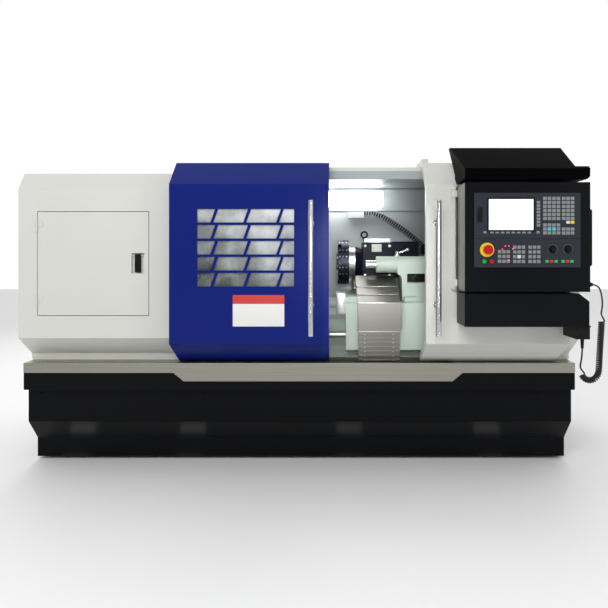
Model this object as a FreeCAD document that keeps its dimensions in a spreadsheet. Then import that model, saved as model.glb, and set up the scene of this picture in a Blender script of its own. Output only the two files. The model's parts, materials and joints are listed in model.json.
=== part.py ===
import FreeCAD, Part
import math
import os
import re

import Sketcher
from FreeCAD import Placement, Rotation, Vector

# Flat-bed turning lathe with a full guard: two sliding doors, a swivelling
# control panel, spindle with a three-jaw chuck, carriage with a tool turret
# and a tailstock. Millimetres. +X runs from the headstock to the tailstock,
# -Y faces the operator and +Z is up. The origin lies on the floor under the
# middle of the machine.

SIZES = {
    # plan of the machine
    "bulkhead_offset": 560,     # wall behind the chuck, left of the origin
    "work_length": 1330,        # clear length between the two end covers
    "head_cover_length": 758.7,
    "tail_cover_length": 548.7,
    "front_reach": 490,         # front of the sliding doors before the origin
    "enclosure_depth": 1190,    # door front to the rear
    "skin": 4,                  # wall of a sheet metal cover
    "body_gap": 0.3,            # between curved faces of different bodies
    "running_gap": 0.05,        # radial clearance of a turning shaft
    "slide_gap": 0.1,           # under a slide
    # floor, base and tray
    "foot_height": 14,
    "foot_radius": 55,
    "base_height": 374,
    "step_height": 213,
    "toe_height": 108,
    "base_setback": 170,
    "toe_setback": 254,
    "base_inset": 7.7,
    "rear_inset": 30,
    "collar_height": 81,
    "collar_rise": 40,          # the collar is lower than that in the middle
    "band_height": 47.5,
    "tray_setback": 127,
    "band_left": 39,            # start of the deep band, left of the bulkhead
    "band_slope": 49,
    "band_right": 7,            # end of the deep band, right of the end wall
    "trough_depth": 80,
    "trough_inset": 35,
    # end covers
    "cover_setback": 98,
    "cover_tuck": 218,
    "cover_bevel": 55,
    "cover_foot": 31.5,
    "cover_knee": 122.5,
    "cover_shoulder": 823.5,
    "cover_top": 902.5,
    "bar_hole_radius": 45,
    "divider_inset": 230,       # inner wall of the right cover behind its edge
    # hinged door of the left cover
    "hatch_inset": 91.7,
    "hatch_width": 520,
    "hatch_bottom": 229.5,
    "hatch_height": 486,
    "hatch_skin": 18,
    "reveal": 3,
    "knuckle_radius": 5,
    "hinge_length": 24,
    "latch_inset": 60,
    "latch_width": 59,
    "latch_bottom": 197,
    "latch_height": 96,
    "latch_depth": 14,
    "paddle_width": 28,
    "paddle_height": 85,
    # sliding doors
    "door_skin": 36,
    "door_tuck": 170,
    "door_bevel": 121,
    "door_foot": 2.5,
    "door_knee": 109.5,
    "door_shoulder": 834.5,
    "door_top": 949.5,
    "door_overlap": 22,         # left door over the left cover
    "left_door_length": 702,
    "flange_width": 22,
    "right_door_length": 653,
    "park_overlap": 188,        # right door over the right cover when open
    "window_left": 127,
    "window_width": 439,
    "window_bottom": 370.5,
    "window_rows": 5,
    "window_bars": 3,
    "row_height": 61,
    "row_pitch": 72.4,
    "bar_width": 12,
    "bar_lean": 20,
    "bar_start": 60,
    "bar_pitch": 149,
    "face_skin": 6,
    "glass": 8,
    "glass_border": 14,
    "handle_radius": 12,
    "handle_length": 600,
    "handle_bottom": 154.5,
    "handle_reach": 65,
    "handle_inset": 58,
    "right_handle_inset": 45,
    "handle_post_low": 133,
    "handle_post_high": 503,
    "post_radius": 8,
    "rail_lift": 13,
    "rail_height": 15,
    "rail_depth": 20,
    "rail_setback": 375,
    "rail_end_inset": 68,
    "shoe_length": 60,
    "shoe_gap": 0.5,
    "shoe_wall": 5.5,
    "shoe_inset": 42,
    "roof_depth": 570,
    # back guard and roof
    "back_setback": 812,
    "roof_rise": 10,
    "roof_lap": 20,
    "header_rise": 21,
    "header_drop": 36,
    "lip_height": 14,
    "shoe_cover_width": 30,
    "shoe_cover_depth": 190,
    "shoe_cover_height": 19,
    # hood and control panel
    "hood_top": 997.5,
    "hood_back": 30,
    "hood_slope": 57,
    "panel_inset": 136,
    "panel_width": 529,
    "panel_reach": 170,
    "panel_bottom": 356.5,
    "panel_height": 464,
    "visor_gap": 13,
    "visor_height": 46,
    "ledge_rise": 11,
    "panel_back_gap": 0.5,
    "console_bottom": 207.5,
    "console_height": 142,
    "console_setin": 5,
    "swivel_offset": 12,
    "swivel_radius": 6,
    "swivel_knuckle": 11,
    "swivel_height": 30,
    "face_inset": 37,
    "face_width": 448,
    "face_height": 314,
    "face_drop": 46,            # face top below the box top
    "face_split": 121,          # height of the lower field
    "face_plate": 6,
    "groove": 2,
    "screen_left": 62,
    "screen_width": 187,
    "screen_height": 129,
    "screen_drop": 27,
    "key_rise": 1.5,
    "button_bore": 30,
    "estop_radius": 30,
    "estop_left": 54,
    "estop_height": 74,
    "mushroom_radius": 20,
    "stem_radius": 11,
    "push_left": 41,
    "push_pitch": 31,
    "push_height": 25,
    "push_radius": 9,
    "knob_left": 330,
    "knob_pitch": 65,
    "knob_height": 76,
    "knob_radius": 13,
    "knob_depth": 17,
    "grip_bottom": 89,
    "grip_height": 284,
    "grip_reach": 32,
    "grip_bar": 12,
    "grip_slope": 24,
    # hand wheel unit under the console
    "unit_inset": 50,
    "unit_width": 58,
    "unit_height": 54.5,
    "unit_front": 150,
    "unit_length": 140,
    "relief_height": 40,
    "relief_radius": 8,
    "wheel_radius": 30,
    "wheel_width": 18,
    "gland_bottom": 30,
    "gland_length": 23,
    "gland_radius": 11,
    "cord_setback": 140,
    "cord_radius": 3.5,
    "coil_radius": 14,
    # bed, headstock and spindle
    "axis_setback": 440,
    "bed_height": 276.5,
    "swing_radius": 187,
    "bed_width": 300,
    "bed_head_length": 590,
    "bed_tail_length": 210,
    "way_width": 70,
    "way_height": 64,
    "waist": 35,
    "head_gap": 30,
    "head_length": 560,
    "head_half": 190,
    "head_rise": 150,
    "spindle_radius": 55,
    "spindle_bore": 30,
    "nose_radius": 85,
    "nose_length": 28,
    "nose_reach": 88,
    "chuck_radius": 125,
    "chuck_length": 100,
    "jaw_width": 34,
    "jaw_root": 36,
    "jaw_height": 78,
    "jaw_reach": 35,
    "jaw_sink": 25,
    "jaw_stroke": 6,
    "pulley_width": 50,
    "pulley_radius": 90,
    "motor_pulley_radius": 60,
    "motor_radius": 20,
    "motor_back": 380,
    "motor_drop": 266,
    "motor_size": 240,
    "motor_length": 350,
    "belt_thickness": 6,
    # feed screw
    "screw_radius": 16,
    "screw_drop": 159,
    "screw_offset": 30,
    "bearing_half": 40,
    "bearing_length": 28,
    "feed_motor_half": 55,
    "feed_motor_length": 175,
    # carriage, cross slide and turret
    "carriage_inset": 547,
    "apron_length": 417,
    "apron_depth": 55,
    "apron_height": 232,
    "saddle_length": 268,
    "saddle_front": 32,
    "saddle_rear": 200,
    "saddle_height": 27,
    "track_height": 30,
    "track_width": 30,
    "track_inset": 62,
    "block_length": 48,
    "shield_inset": 57,
    "shield_length": 211,
    "shield_setback": 180,
    "curtain_setback": 215,
    "shield_bottom": 136,
    "curtain_bottom": 284,
    "stage_depth": 120,
    "stage_pitch": 78,
    "stage_skin": 3,
    "stage_lift": 5,
    "stage_slope": 22.4,
    "slide_front": 20,
    "slide_rear": 340,
    "slide_height": 50,
    "turret_back": 200,
    "turret_left": 43,
    "turret_length": 222,
    "turret_half": 100,
    "turret_height": 199,
    "turret_setin": 58,
    "turret_lower": 8,
    "collar_radius": 88,
    "collar_length": 34,
    "turret_plate": 23,
    "disc_radius": 125,
    "disc_width": 61,
    "neck_length": 18,
    "pocket_width": 26,
    "pocket_depth": 38,
    "pocket_reach": 20,
    "disc_stations": 8,
    "turret_motor_length": 145,
    "turret_motor_radius": 72,
    # tailstock
    "tail_inset": 381,
    "barrel_radius": 43,
    "pocket_start": 158,
    "barrel_length": 301,
    "quill_radius": 22,
    "quill_reach": 56,
    "socket_depth": 40,
    "socket_radius": 10,
    "column_half": 50,
    "column_inset": 107,
    "tail_base_height": 21,
    "tail_base_length": 165,
    "tail_base_half": 115,
    "hand_wheel_radius": 90,
    "hand_wheel_width": 22,
    "lever_inset": 111,
    "lever_reach": 60,
    # lamp, cable chain and cabinet
    "lamp_left": 580,
    "lamp_length": 424,
    "lamp_drop": 35,
    "lamp_height": 85,
    "lamp_depth": 60,
    "chain_height": 31,
    "chain_depth": 30,
    "cabinet_length": 1240,
    "cabinet_height": 870,
    "cabinet_depth": 345,
}

DECK = "(base_height + collar_height + band_height)"
FRONT = "(-front_reach)"
REAR = "(enclosure_depth - front_reach)"
BULKHEAD = "(-bulkhead_offset)"
WALL = "(work_length - bulkhead_offset)"
LEFT_END = f"({BULKHEAD} - head_cover_length)"
RIGHT_END = f"({WALL} + tail_cover_length)"
AXIS_Y = "(axis_setback - front_reach)"
BED_TOP = f"({DECK} + bed_height)"
AXIS_Z = f"({BED_TOP} + swing_radius)"
BED_FRONT = f"({AXIS_Y} - bed_width / 2)"
BED_REAR = f"({AXIS_Y} + bed_width / 2)"
LEFT_DOOR = f"({BULKHEAD} - door_overlap)"
LEFT_DOOR_END = f"({LEFT_DOOR} + left_door_length + flange_width)"
RIGHT_DOOR = f"({WALL} - park_overlap)"
PANEL = f"({RIGHT_DOOR} + panel_inset)"
PANEL_END = f"({PANEL} + panel_width)"
PANEL_FRONT = f"({FRONT} - panel_reach)"
PANEL_BOTTOM = f"({DECK} + panel_bottom)"
PANEL_TOP = f"({PANEL_BOTTOM} + panel_height)"
FACE = f"({PANEL} + face_inset)"
FACE_TOP = f"({PANEL_TOP} - face_drop)"
FACE_BOTTOM = f"({FACE_TOP} - face_height)"
FACE_FRONT = f"({PANEL_FRONT} - face_plate)"
HATCH = f"({LEFT_END} + hatch_inset)"
HATCH_BOTTOM = f"({DECK} + hatch_bottom)"
COVER_FRONT = f"({FRONT} + cover_setback)"
ROOF = f"({DECK} + cover_top + roof_rise)"
RAIL_BOTTOM = f"({DECK} + cover_top + rail_lift)"
RAIL_TOP = f"({RAIL_BOTTOM} + rail_height)"
BACK = f"({FRONT} + back_setback)"
SCREW_Y = f"({BED_FRONT} - screw_offset)"
SCREW_Z = f"({BED_TOP} - screw_drop)"
SADDLE = f"({WALL} - carriage_inset)"
SADDLE_TOP = f"({BED_TOP} + slide_gap + saddle_height)"
TRACK_TOP = f"({SADDLE_TOP} + track_height)"
SHIELD = f"({SADDLE} + shield_inset)"
CROSS_BOTTOM = f"({TRACK_TOP} + slide_gap)"
CROSS_TOP = f"({CROSS_BOTTOM} + slide_height)"
TURRET = f"({SADDLE} + turret_left)"
TURRET_Y = f"({AXIS_Y} + turret_back)"
TURRET_Z = f"({CROSS_TOP} + turret_height / 2 - turret_lower)"
TAIL = f"({WALL} - tail_inset)"
CHUCK = f"({BULKHEAD} + nose_reach)"
CHUCK_FACE = f"({CHUCK} + chuck_length)"
BEARING_END = f"({WALL} + bed_tail_length)"
DIVIDER = f"({WALL} + divider_inset)"
UNIT = f"({PANEL_END} - unit_inset)"
UNIT_TOP = f"({DECK} + console_bottom)"
UNIT_BOTTOM = f"({UNIT_TOP} - unit_height)"
UNIT_Y = f"({FRONT} - unit_front + unit_length / 2)"
UNIT_Z = f"({UNIT_TOP} - unit_height / 2)"
CORD_Y = f"({FRONT} - cord_setback)"
GLAND_Z = f"({PANEL_BOTTOM} + gland_bottom)"
SWIVEL_X = f"({PANEL} - swivel_offset)"
SWIVEL_Y = f"({FRONT} - swivel_offset - 2)"

doc = FreeCAD.newDocument("turning_lathe")
nodes = []


def make_sheet():
    """The driving dimensions, one named cell each."""
    sheet = doc.addObject("Spreadsheet::Sheet", "sizes")
    for row, (name, value) in enumerate(SIZES.items(), start=1):
        sheet.set(f"A{row}", name)
        sheet.set(f"B{row}", str(value))
        sheet.setAlias(f"B{row}", name)
    doc.recompute()
    return sheet


sheet = make_sheet()
FUNCTIONS = ("sin", "cos", "tan", "sqrt")


def cells(text):
    """An expression in which each plain word is a cell of the sheet."""
    def cell(word):
        return word.group() if word.group() in FUNCTIONS else f"sizes.{word.group()}"
    return re.sub(r"[a-z_]{3,}", cell, text)


def value(text):
    result = sheet.evalExpression(cells(text))
    return float(getattr(result, "Value", result))


def bind(item, prop, text):
    item.setExpression(prop, cells(text))


def node(item, name):
    """Marks an object as a sub-part and gives it its name."""
    item.Label = name
    nodes.append(item)
    return item


def move(item, **places):
    for axis, text in places.items():
        bind(item, f"Placement.Base.{axis}", text)


def box(name, x, y, z, about=None):
    """A block from low to high on each axis. With about = (y, z, degrees) the
    y and z spans are measured from that centre line and turned about it."""
    item = doc.addObject("Part::Box", name)
    for side, (low, high) in zip(("Length", "Width", "Height"), (x, y, z)):
        bind(item, side, f"({high}) - ({low})")
    if about is None:
        move(item, x=x[0], y=y[0], z=z[0])
        return item
    centre_y, centre_z, angle = about
    cosine = f"{math.cos(math.radians(angle)):.9f}"
    sine = f"{math.sin(math.radians(angle)):.9f}"
    item.Placement = Placement(Vector(), Rotation(Vector(1, 0, 0), angle))
    move(item, x=x[0],
         y=f"{centre_y} + ({y[0]}) * {cosine} - ({z[0]}) * {sine}",
         z=f"{centre_z} + ({y[0]}) * {sine} + ({z[0]}) * {cosine}")
    return item


TURNS = {"x": Rotation(Vector(0, 1, 0), 90),
         "y": Rotation(Vector(1, 0, 0), -90),
         "z": Rotation()}


def rod(name, axis, span, centre, radius, end_radius=None):
    """A cylinder along an axis, or a cone when it has an end radius."""
    kind = "Part::Cone" if end_radius else "Part::Cylinder"
    item = doc.addObject(kind, name)
    item.Placement = Placement(Vector(), TURNS[axis])
    bind(item, "Height", f"({span[1]}) - ({span[0]})")
    if end_radius:
        bind(item, "Radius1", radius)
        bind(item, "Radius2", end_radius)
    else:
        bind(item, "Radius", radius)
    others = [letter for letter in "xyz" if letter != axis]
    places = {axis: span[0], others[0]: centre[0], others[1]: centre[1]}
    move(item, **places)
    return item


def fuse(name, *items):
    item = doc.addObject("Part::MultiFuse", name)
    item.Shapes = list(items)
    item.Refine = True
    return item


def cut(name, base, *tools):
    for count, tool in enumerate(tools, start=1):
        last = count == len(tools)
        item = doc.addObject("Part::Cut", name if last else f"{name}_cut")
        item.Base = base
        item.Tool = tool
        item.Refine = True
        base = item
    return base


PLANES = {"yz": "YZ_Plane", "xz": "XZ_Plane", "xy": "XY_Plane"}


def outline(name, plane, points, span):
    """A body padded from a closed outline. Points are (across, up)."""
    body = doc.addObject("PartDesign::Body", name)
    sketch = body.newObject("Sketcher::SketchObject", f"{name}_sketch")
    origin = next(f for f in body.Origin.OriginFeatures if f.Role == PLANES[plane])
    sketch.AttachmentSupport = [(origin, "")]
    sketch.MapMode = "FlatFace"
    corners = [Vector(value(u), value(v), 0) for u, v in points]
    count = len(corners)
    for index, corner in enumerate(corners):
        sketch.addGeometry(Part.LineSegment(corner, corners[(index + 1) % count]), False)
    for index in range(count):
        joint = Sketcher.Constraint("Coincident", index, 2, (index + 1) % count, 1)
        sketch.addConstraint(joint)
    for index, (corner, texts) in enumerate(zip(corners, points)):
        for kind, size, text in (("DistanceX", corner.x, texts[0]),
                                 ("DistanceY", corner.y, texts[1])):
            number = sketch.addConstraint(Sketcher.Constraint(kind, -1, 1, index, 1, size))
            sketch.setExpression(f"Constraints[{number}]", cells(text))
    start = f"-({span[1]})" if plane == "xz" else span[0]
    sketch.setExpression("AttachmentOffset.Base.z", cells(start))
    pad = body.newObject("PartDesign::Pad", f"{name}_pad")
    pad.Profile = sketch
    bind(pad, "Length", f"({span[1]}) - ({span[0]})")
    doc.recompute()
    return body


def shell(body, open_sides):
    """Hollows a padded body to the sheet thickness, open on the given sides."""
    pad = body.Tip
    names = []
    for number, face in enumerate(pad.Shape.Faces, start=1):
        normal = face.normalAt(0, 0)
        if any(normal.dot(side) > 0.999 for side in open_sides):
            names.append(f"Face{number}")
    hollow = body.newObject("PartDesign::Thickness", f"{body.Name}_wall")
    hollow.Base = (pad, names)
    hollow.Reversed = True
    hollow.Join = 1
    bind(hollow, "Value", "skin")
    doc.recompute()
    return body


def made(name, shape):
    """A sub-part whose shape comes from Part's own functions."""
    item = doc.addObject("Part::Feature", name)
    item.Shape = shape
    return item


def spread(text, step, index):
    return f"{text} + ({step}) * {index}"


# ---------------------------------------------------------------- base

def base_frame():
    inner_left = f"{LEFT_END} + base_inset"
    inner_right = f"{RIGHT_END} - base_inset"
    back = f"{REAR} - rear_inset"
    points = [(f"{FRONT} + toe_setback", "foot_height"),
              (f"{FRONT} + toe_setback", "toe_height"),
              (f"{FRONT} + base_setback", "step_height"),
              (f"{FRONT} + base_setback", "base_height"),
              (back, "base_height"),
              (back, "foot_height")]
    stand = outline("base_stand", "yz", points, (inner_left, inner_right))
    node(fuse("base_frame", stand, tray_collar()), "base_frame")


def levelling_feet():
    discs = []
    inset = "(foot_radius + 40)"
    spots = [f"{LEFT_END} + {inset}", f"({LEFT_END} + {RIGHT_END}) / 2",
             f"{RIGHT_END} - {inset}"]
    rows = [f"{FRONT} + toe_setback + {inset}", f"{REAR} - rear_inset - {inset}"]
    for column, x in enumerate(spots):
        for row, y in enumerate(rows):
            name = f"foot_{column}_{row}"
            discs.append(rod(name, "z", ("0", "foot_height"), (x, y), "foot_radius"))
    node(fuse("levelling_feet", *discs), "levelling_feet")


def tray_edge(low):
    """Corners of the deep middle part of the tray band, left to right."""
    left = f"{BULKHEAD} - band_left"
    right = f"{WALL} + band_right"
    return [(left, f"{low} + collar_rise"), (f"{left} + band_slope", low),
            (f"{right} - band_slope", low), (right, f"{low} + collar_rise")]


def tray_collar():
    left = f"{LEFT_END} + base_inset"
    right = f"{RIGHT_END} - base_inset"
    low = "base_height + collar_height - collar_rise"
    step = tray_edge(low)
    points = [(left, "base_height"), (right, "base_height"),
              (right, f"{low} + collar_rise"), step[3], step[2], step[1], step[0],
              (left, f"{low} + collar_rise")]
    span = (f"{FRONT} + tray_setback", f"{REAR} - rear_inset")
    return outline("tray_collar", "xz", points, span)


def chip_tray():
    left = f"{LEFT_END} + base_inset"
    right = f"{RIGHT_END} - base_inset"
    low = "base_height + collar_height - collar_rise"
    step = tray_edge(low)
    points = [(left, f"{low} + collar_rise")] + step
    points += [(right, f"{low} + collar_rise"), (right, DECK), (left, DECK)]
    span = (f"{FRONT} + tray_setback", f"{REAR} - rear_inset")
    pan = outline("tray_pan", "xz", points, span)
    trough = box("tray_trough",
                 (f"{BULKHEAD} + trough_inset", f"{WALL} - trough_inset"),
                 (f"{FRONT} + tray_setback + skin", f"{BED_FRONT} - 2 * skin"),
                 (f"{DECK} - trough_depth", f"{DECK} + 1"))
    node(cut("chip_tray", pan, trough), "chip_tray")


# ---------------------------------------------------------------- end covers

def cover_points():
    back = f"{FRONT} + cover_tuck"
    top_back = f"{COVER_FRONT} + cover_bevel"
    return [(back, DECK), (back, f"{DECK} + cover_foot"),
            (COVER_FRONT, f"{DECK} + cover_knee"),
            (COVER_FRONT, f"{DECK} + cover_shoulder"),
            (top_back, f"{DECK} + cover_top"),
            (REAR, f"{DECK} + cover_top"), (REAR, DECK)]


def hatch_hinges():
    """Height of each hinge's middle."""
    return [f"{HATCH_BOTTOM} + 70", f"{HATCH_BOTTOM} + hatch_height - 70"]


def left_cover():
    body = outline("left_cover_sheet", "yz", cover_points(), (LEFT_END, BULKHEAD))
    shell(body, [Vector(0, 0, -1)])
    rest = f"{COVER_FRONT} + hatch_skin + 2"
    frame = box("hatch_frame",
                (f"{HATCH} - 20", f"{HATCH} + hatch_width + 20"),
                (f"{COVER_FRONT} + skin / 2", rest + " + skin"),
                (f"{HATCH_BOTTOM} - 20", f"{HATCH_BOTTOM} + hatch_height + 20"))
    opening = box("hatch_opening",
                  (f"{HATCH} - reveal", f"{HATCH} + hatch_width + reveal"),
                  (f"{COVER_FRONT} - 1", rest),
                  (f"{HATCH_BOTTOM} - reveal",
                   f"{HATCH_BOTTOM} + hatch_height + reveal"))
    through = box("hatch_through",
                  (f"{HATCH} + 20", f"{HATCH} + hatch_width - 20"),
                  (f"{COVER_FRONT} - 1", f"{COVER_FRONT} + 60"),
                  (f"{HATCH_BOTTOM} + 20", f"{HATCH_BOTTOM} + hatch_height - 20"))
    bar_hole = rod("bar_hole", "x", (f"{LEFT_END} - 5", f"{LEFT_END} + 20"),
                   (AXIS_Y, AXIS_Z), "bar_hole_radius")
    nose_hole = rod("nose_hole", "x", (f"{BULKHEAD} - 20", f"{BULKHEAD} + 5"),
                    (AXIS_Y, AXIS_Z), "nose_radius + 6")
    bed_hole = box("bed_hole", (f"{BULKHEAD} - 20", f"{BULKHEAD} + 5"),
                   (f"{BED_FRONT} - 6", f"{BED_REAR} + 6"),
                   (f"{DECK} - 5", f"{BED_TOP} + 6"))
    sheet_metal = fuse("left_cover_blank", body, frame)
    opened = cut("left_cover_open", sheet_metal, opening, through, bar_hole,
                 nose_hole, bed_hole)
    pieces = [opened]
    for count, middle in enumerate(hatch_hinges()):
        knuckle = (f"{HATCH} - reveal", f"{COVER_FRONT} - knuckle_radius - body_gap")
        pieces.append(rod(f"hatch_knuckle_{count}", "z",
                          (f"{middle} - hinge_length", f"{middle} - body_gap"),
                          knuckle, "knuckle_radius"))
        pieces.append(rod(f"hatch_pin_{count}", "z",
                          (f"{middle} - hinge_length", f"{middle} + hinge_length"),
                          knuckle, "knuckle_radius / 2"))
        pieces.append(box(f"hatch_leaf_{count}",
                          (f"{HATCH} - reveal - 24", f"{HATCH} - reveal - body_gap"),
                          (f"{COVER_FRONT} - 2", f"{COVER_FRONT} + skin / 2"),
                          (f"{middle} - hinge_length", f"{middle} - body_gap")))
    node(fuse("left_cover", *pieces), "left_cover")


def cover_door():
    plate = box("hatch_plate", (HATCH, f"{HATCH} + hatch_width"),
                (COVER_FRONT, f"{COVER_FRONT} + hatch_skin"),
                (HATCH_BOTTOM, f"{HATCH_BOTTOM} + hatch_height"))
    right = f"({HATCH} + hatch_width - latch_inset + 39)"
    recess = box("latch_recess", (f"{right} - latch_width", right),
                 (f"{COVER_FRONT} - 1", f"{COVER_FRONT} + latch_depth"),
                 (f"{HATCH_BOTTOM} + latch_bottom",
                  f"{HATCH_BOTTOM} + latch_bottom + latch_height"))
    panel = cut("hatch_panel", plate, recess)
    pieces = [panel]
    for count, middle in enumerate(hatch_hinges()):
        centre = (f"{HATCH} - reveal", f"{COVER_FRONT} - knuckle_radius - body_gap")
        span = (f"{middle} + body_gap", f"{middle} + hinge_length - 1")
        barrel = rod(f"hatch_barrel_{count}", "z", span, centre, "knuckle_radius")
        leaf = box(f"hatch_flap_{count}", (f"{HATCH} - reveal", f"{HATCH} + 24"),
                   (f"{COVER_FRONT} - 2", COVER_FRONT), span)
        bore = rod(f"hatch_bore_{count}", "z",
                   (f"{middle} - 1", f"{middle} + hinge_length"),
                   centre, "knuckle_radius / 2 + running_gap")
        pieces.append(cut(f"hatch_eye_{count}",
                          fuse(f"hatch_barrel_leaf_{count}", barrel, leaf), bore))
    pin_z = latch_pivot()
    pieces.append(rod("latch_pin", "x", (f"{right} - latch_width", right),
                      (f"{COVER_FRONT} + 4", pin_z), "2"))
    node(fuse("cover_door", *pieces), "cover_door")


def latch_pivot():
    middle = f"{HATCH_BOTTOM} + latch_bottom + latch_height / 2"
    return f"({middle} + paddle_height / 2 - 6)"


def latch_lever():
    right = f"({HATCH} + hatch_width - latch_inset + 39)"
    middle = f"({right} - latch_width / 2)"
    centre = f"({HATCH_BOTTOM} + latch_bottom + latch_height / 2)"
    paddle = box("latch_paddle",
                 (f"{middle} - paddle_width / 2", f"{middle} + paddle_width / 2"),
                 (COVER_FRONT, f"{COVER_FRONT} + 8"),
                 (f"{centre} - paddle_height / 2", f"{centre} + paddle_height / 2"))
    bore = rod("latch_bore", "x", (f"{middle} - 40", f"{middle} + 40"),
               (f"{COVER_FRONT} + 4", latch_pivot()), "2 + running_gap")
    node(cut("latch_lever", paddle, bore), "latch_lever")


def end_cover():
    body = outline("end_cover_sheet", "yz", cover_points(), (WALL, RIGHT_END))
    shell(body, [Vector(0, 0, -1), Vector(-1, 0, 0)])
    divider = box("end_divider", (DIVIDER, f"{DIVIDER} + skin"),
                  (f"{FRONT} + cover_tuck + 2", f"{REAR} - 2"),
                  (DECK, f"{DECK} + cover_top - 2"))
    slope = box("divider_nose", (DIVIDER, f"{DIVIDER} + skin"),
                (f"{COVER_FRONT} + 2", f"{FRONT} + cover_tuck + 4"),
                (f"{DECK} + cover_knee", f"{DECK} + cover_shoulder"))
    hole = rod("divider_hole", "x", (f"{DIVIDER} - 5", f"{DIVIDER} + 10"),
               (SCREW_Y, SCREW_Z), "screw_radius + 8")
    node(cut("end_cover", fuse("end_cover_blank", body, divider, slope), hole),
         "end_cover")


# ---------------------------------------------------------------- back, roof, rail

def back_guard():
    roof_front = f"{COVER_FRONT} + cover_bevel - 3"
    wall = box("back_sheet", (BULKHEAD, WALL), (BACK, f"{BACK} + skin"),
               (DECK, f"{ROOF} + 3"))
    roof = box("roof_sheet", (f"{BULKHEAD} - roof_lap", f"{WALL} + roof_lap"),
               (roof_front, f"{BACK} + skin"), (ROOF, f"{ROOF} + 3"))
    lap_left = box("roof_lap_left", (f"{BULKHEAD} - roof_lap", BULKHEAD),
                   (roof_front, f"{BACK} + skin"), (f"{DECK} + cover_top", ROOF))
    lap_right = box("roof_lap_right", (WALL, f"{WALL} + roof_lap"),
                    (roof_front, f"{BACK} + skin"), (f"{DECK} + cover_top", ROOF))
    band = box("back_band", (BULKHEAD, WALL), (f"{BACK} - 14", BACK),
               (f"{ROOF} - 136", f"{ROOF} - 9"))
    header = box("roof_header", (BULKHEAD, WALL),
                 (f"{roof_front} + 6", f"{roof_front} + 18"),
                 (f"{ROOF} + 2", f"{ROOF} + header_rise"))
    flange = box("roof_flange", (BULKHEAD, WALL), (roof_front, f"{roof_front} + 3"),
                 (f"{ROOF} - header_drop", f"{ROOF} + 1"))
    node(fuse("back_guard", wall, roof, lap_left, lap_right, band, header, flange),
         "back_guard")


def top_rail():
    y = (f"{FRONT} + rail_setback", f"{FRONT} + rail_setback + rail_depth")
    left = f"({LEFT_END} + rail_end_inset)"
    right = f"({RIGHT_END} - rail_end_inset)"
    pieces = [box("rail_bar", (left, right), y, (RAIL_BOTTOM, RAIL_TOP))]
    foot_z = (f"{DECK} + cover_top", RAIL_BOTTOM)
    for side, start, sign in (("left", left, "+"), ("right", right, "-")):
        for count in range(3):
            near = f"{start} {sign} {20 + 190 * count}"
            far = f"{start} {sign} {60 + 190 * count}"
            x = (near, far) if sign == "+" else (far, near)
            pieces.append(box(f"rail_foot_{side}_{count}", x, y, foot_z))
    node(fuse("top_rail", *pieces), "top_rail")


def work_lamp():
    left = f"({BULKHEAD} + lamp_left)"
    top = f"({ROOF} - lamp_drop)"
    body = box("lamp_body", (left, f"{left} + lamp_length"),
               (f"{BACK} - 14 - 80 - lamp_depth", f"{BACK} - 14 - 80"),
               (f"{top} - lamp_height", top))
    pieces = [body]
    for count, inset in enumerate(("60", "lamp_length - 90")):
        pieces.append(box(f"lamp_arm_{count}",
                          (f"{left} + {inset}", f"{left} + {inset} + 30"),
                          (f"{BACK} - 14 - 80", f"{BACK} - 14"),
                          (f"{top} - 50", f"{top} - 30")))
    node(fuse("work_lamp", *pieces), "work_lamp")


CHAIN_POINTS = [(337, 1260), (394, 1260), (452, 1241), (513, 1204),
                (575, 1163), (636, 1114), (686, 1070)]


def cable_chain():
    """Flat links in a row that hangs along the back wall, with end brackets."""
    rear = value(f"{BACK} - 14 - 18")
    front = rear - value("chain_depth")
    height = value("chain_height")
    shift = value(WALL) - 770
    lift = value(DECK) - 502.5
    first_x = CHAIN_POINTS[0][0] + shift
    first_z = CHAIN_POINTS[0][1] + lift
    last_x = CHAIN_POINTS[-1][0] + shift
    last_z = CHAIN_POINTS[-1][1] + lift
    wall = value(f"{BACK} - 14")
    solid = Part.makeBox(92, wall - front + 6, 37,
                         Vector(first_x - 90, front - 6, first_z - 27))
    low = Part.makeBox(34, value(BACK) - front + 6, 44,
                       Vector(last_x - 12, front - 6, last_z - 50))
    solid = solid.fuse(low)
    for (x0, z0), (x1, z1) in zip(CHAIN_POINTS, CHAIN_POINTS[1:]):
        length = math.hypot(x1 - x0, z1 - z0)
        angle = math.degrees(math.atan2(z1 - z0, x1 - x0))
        for start in (0.0, length / 2):
            link = Part.makeBox(length / 2 + 1.5, rear - front, height,
                                Vector(start, front, -height / 2))
            link.rotate(Vector(), Vector(0, 1, 0), -angle)
            link.translate(Vector(x0 + shift, 0, z0 + lift))
            solid = solid.fuse(link)
        knob = Part.makeCylinder(height / 2, rear - front - 2,
                                 Vector(x1 + shift, front + 1, z1 + lift), Vector(0, 1, 0))
        solid = solid.fuse(knob)
    node(made("cable_chain", solid.removeSplitter()), "cable_chain")


def electric_cabinet():
    left = f"({BULKHEAD} + 20)"
    back = f"({BACK} + skin + cabinet_depth)"
    case = box("cabinet_case", (left, f"{left} + cabinet_length"),
               (f"{BACK} + skin", back), (DECK, f"{DECK} + cabinet_height"))
    pieces = [case]
    half = "cabinet_length / 2"
    for side in range(2):
        start = spread(f"{left} + 8", half, side)
        pieces.append(box(f"cabinet_door_{side}",
                          (start, f"{start} + {half} - 16"), (back, f"{back} + 18"),
                          (f"{DECK} + 12", f"{DECK} + cabinet_height - 12")))
    pieces.append(box("cabinet_handle",
                      (f"{left} + {half} + 22", f"{left} + {half} + 44"),
                      (f"{back} + 18", f"{back} + 36"),
                      (f"{DECK} + 380", f"{DECK} + 500")))
    node(fuse("electric_cabinet", *pieces), "electric_cabinet")


# ---------------------------------------------------------------- sliding doors

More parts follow.
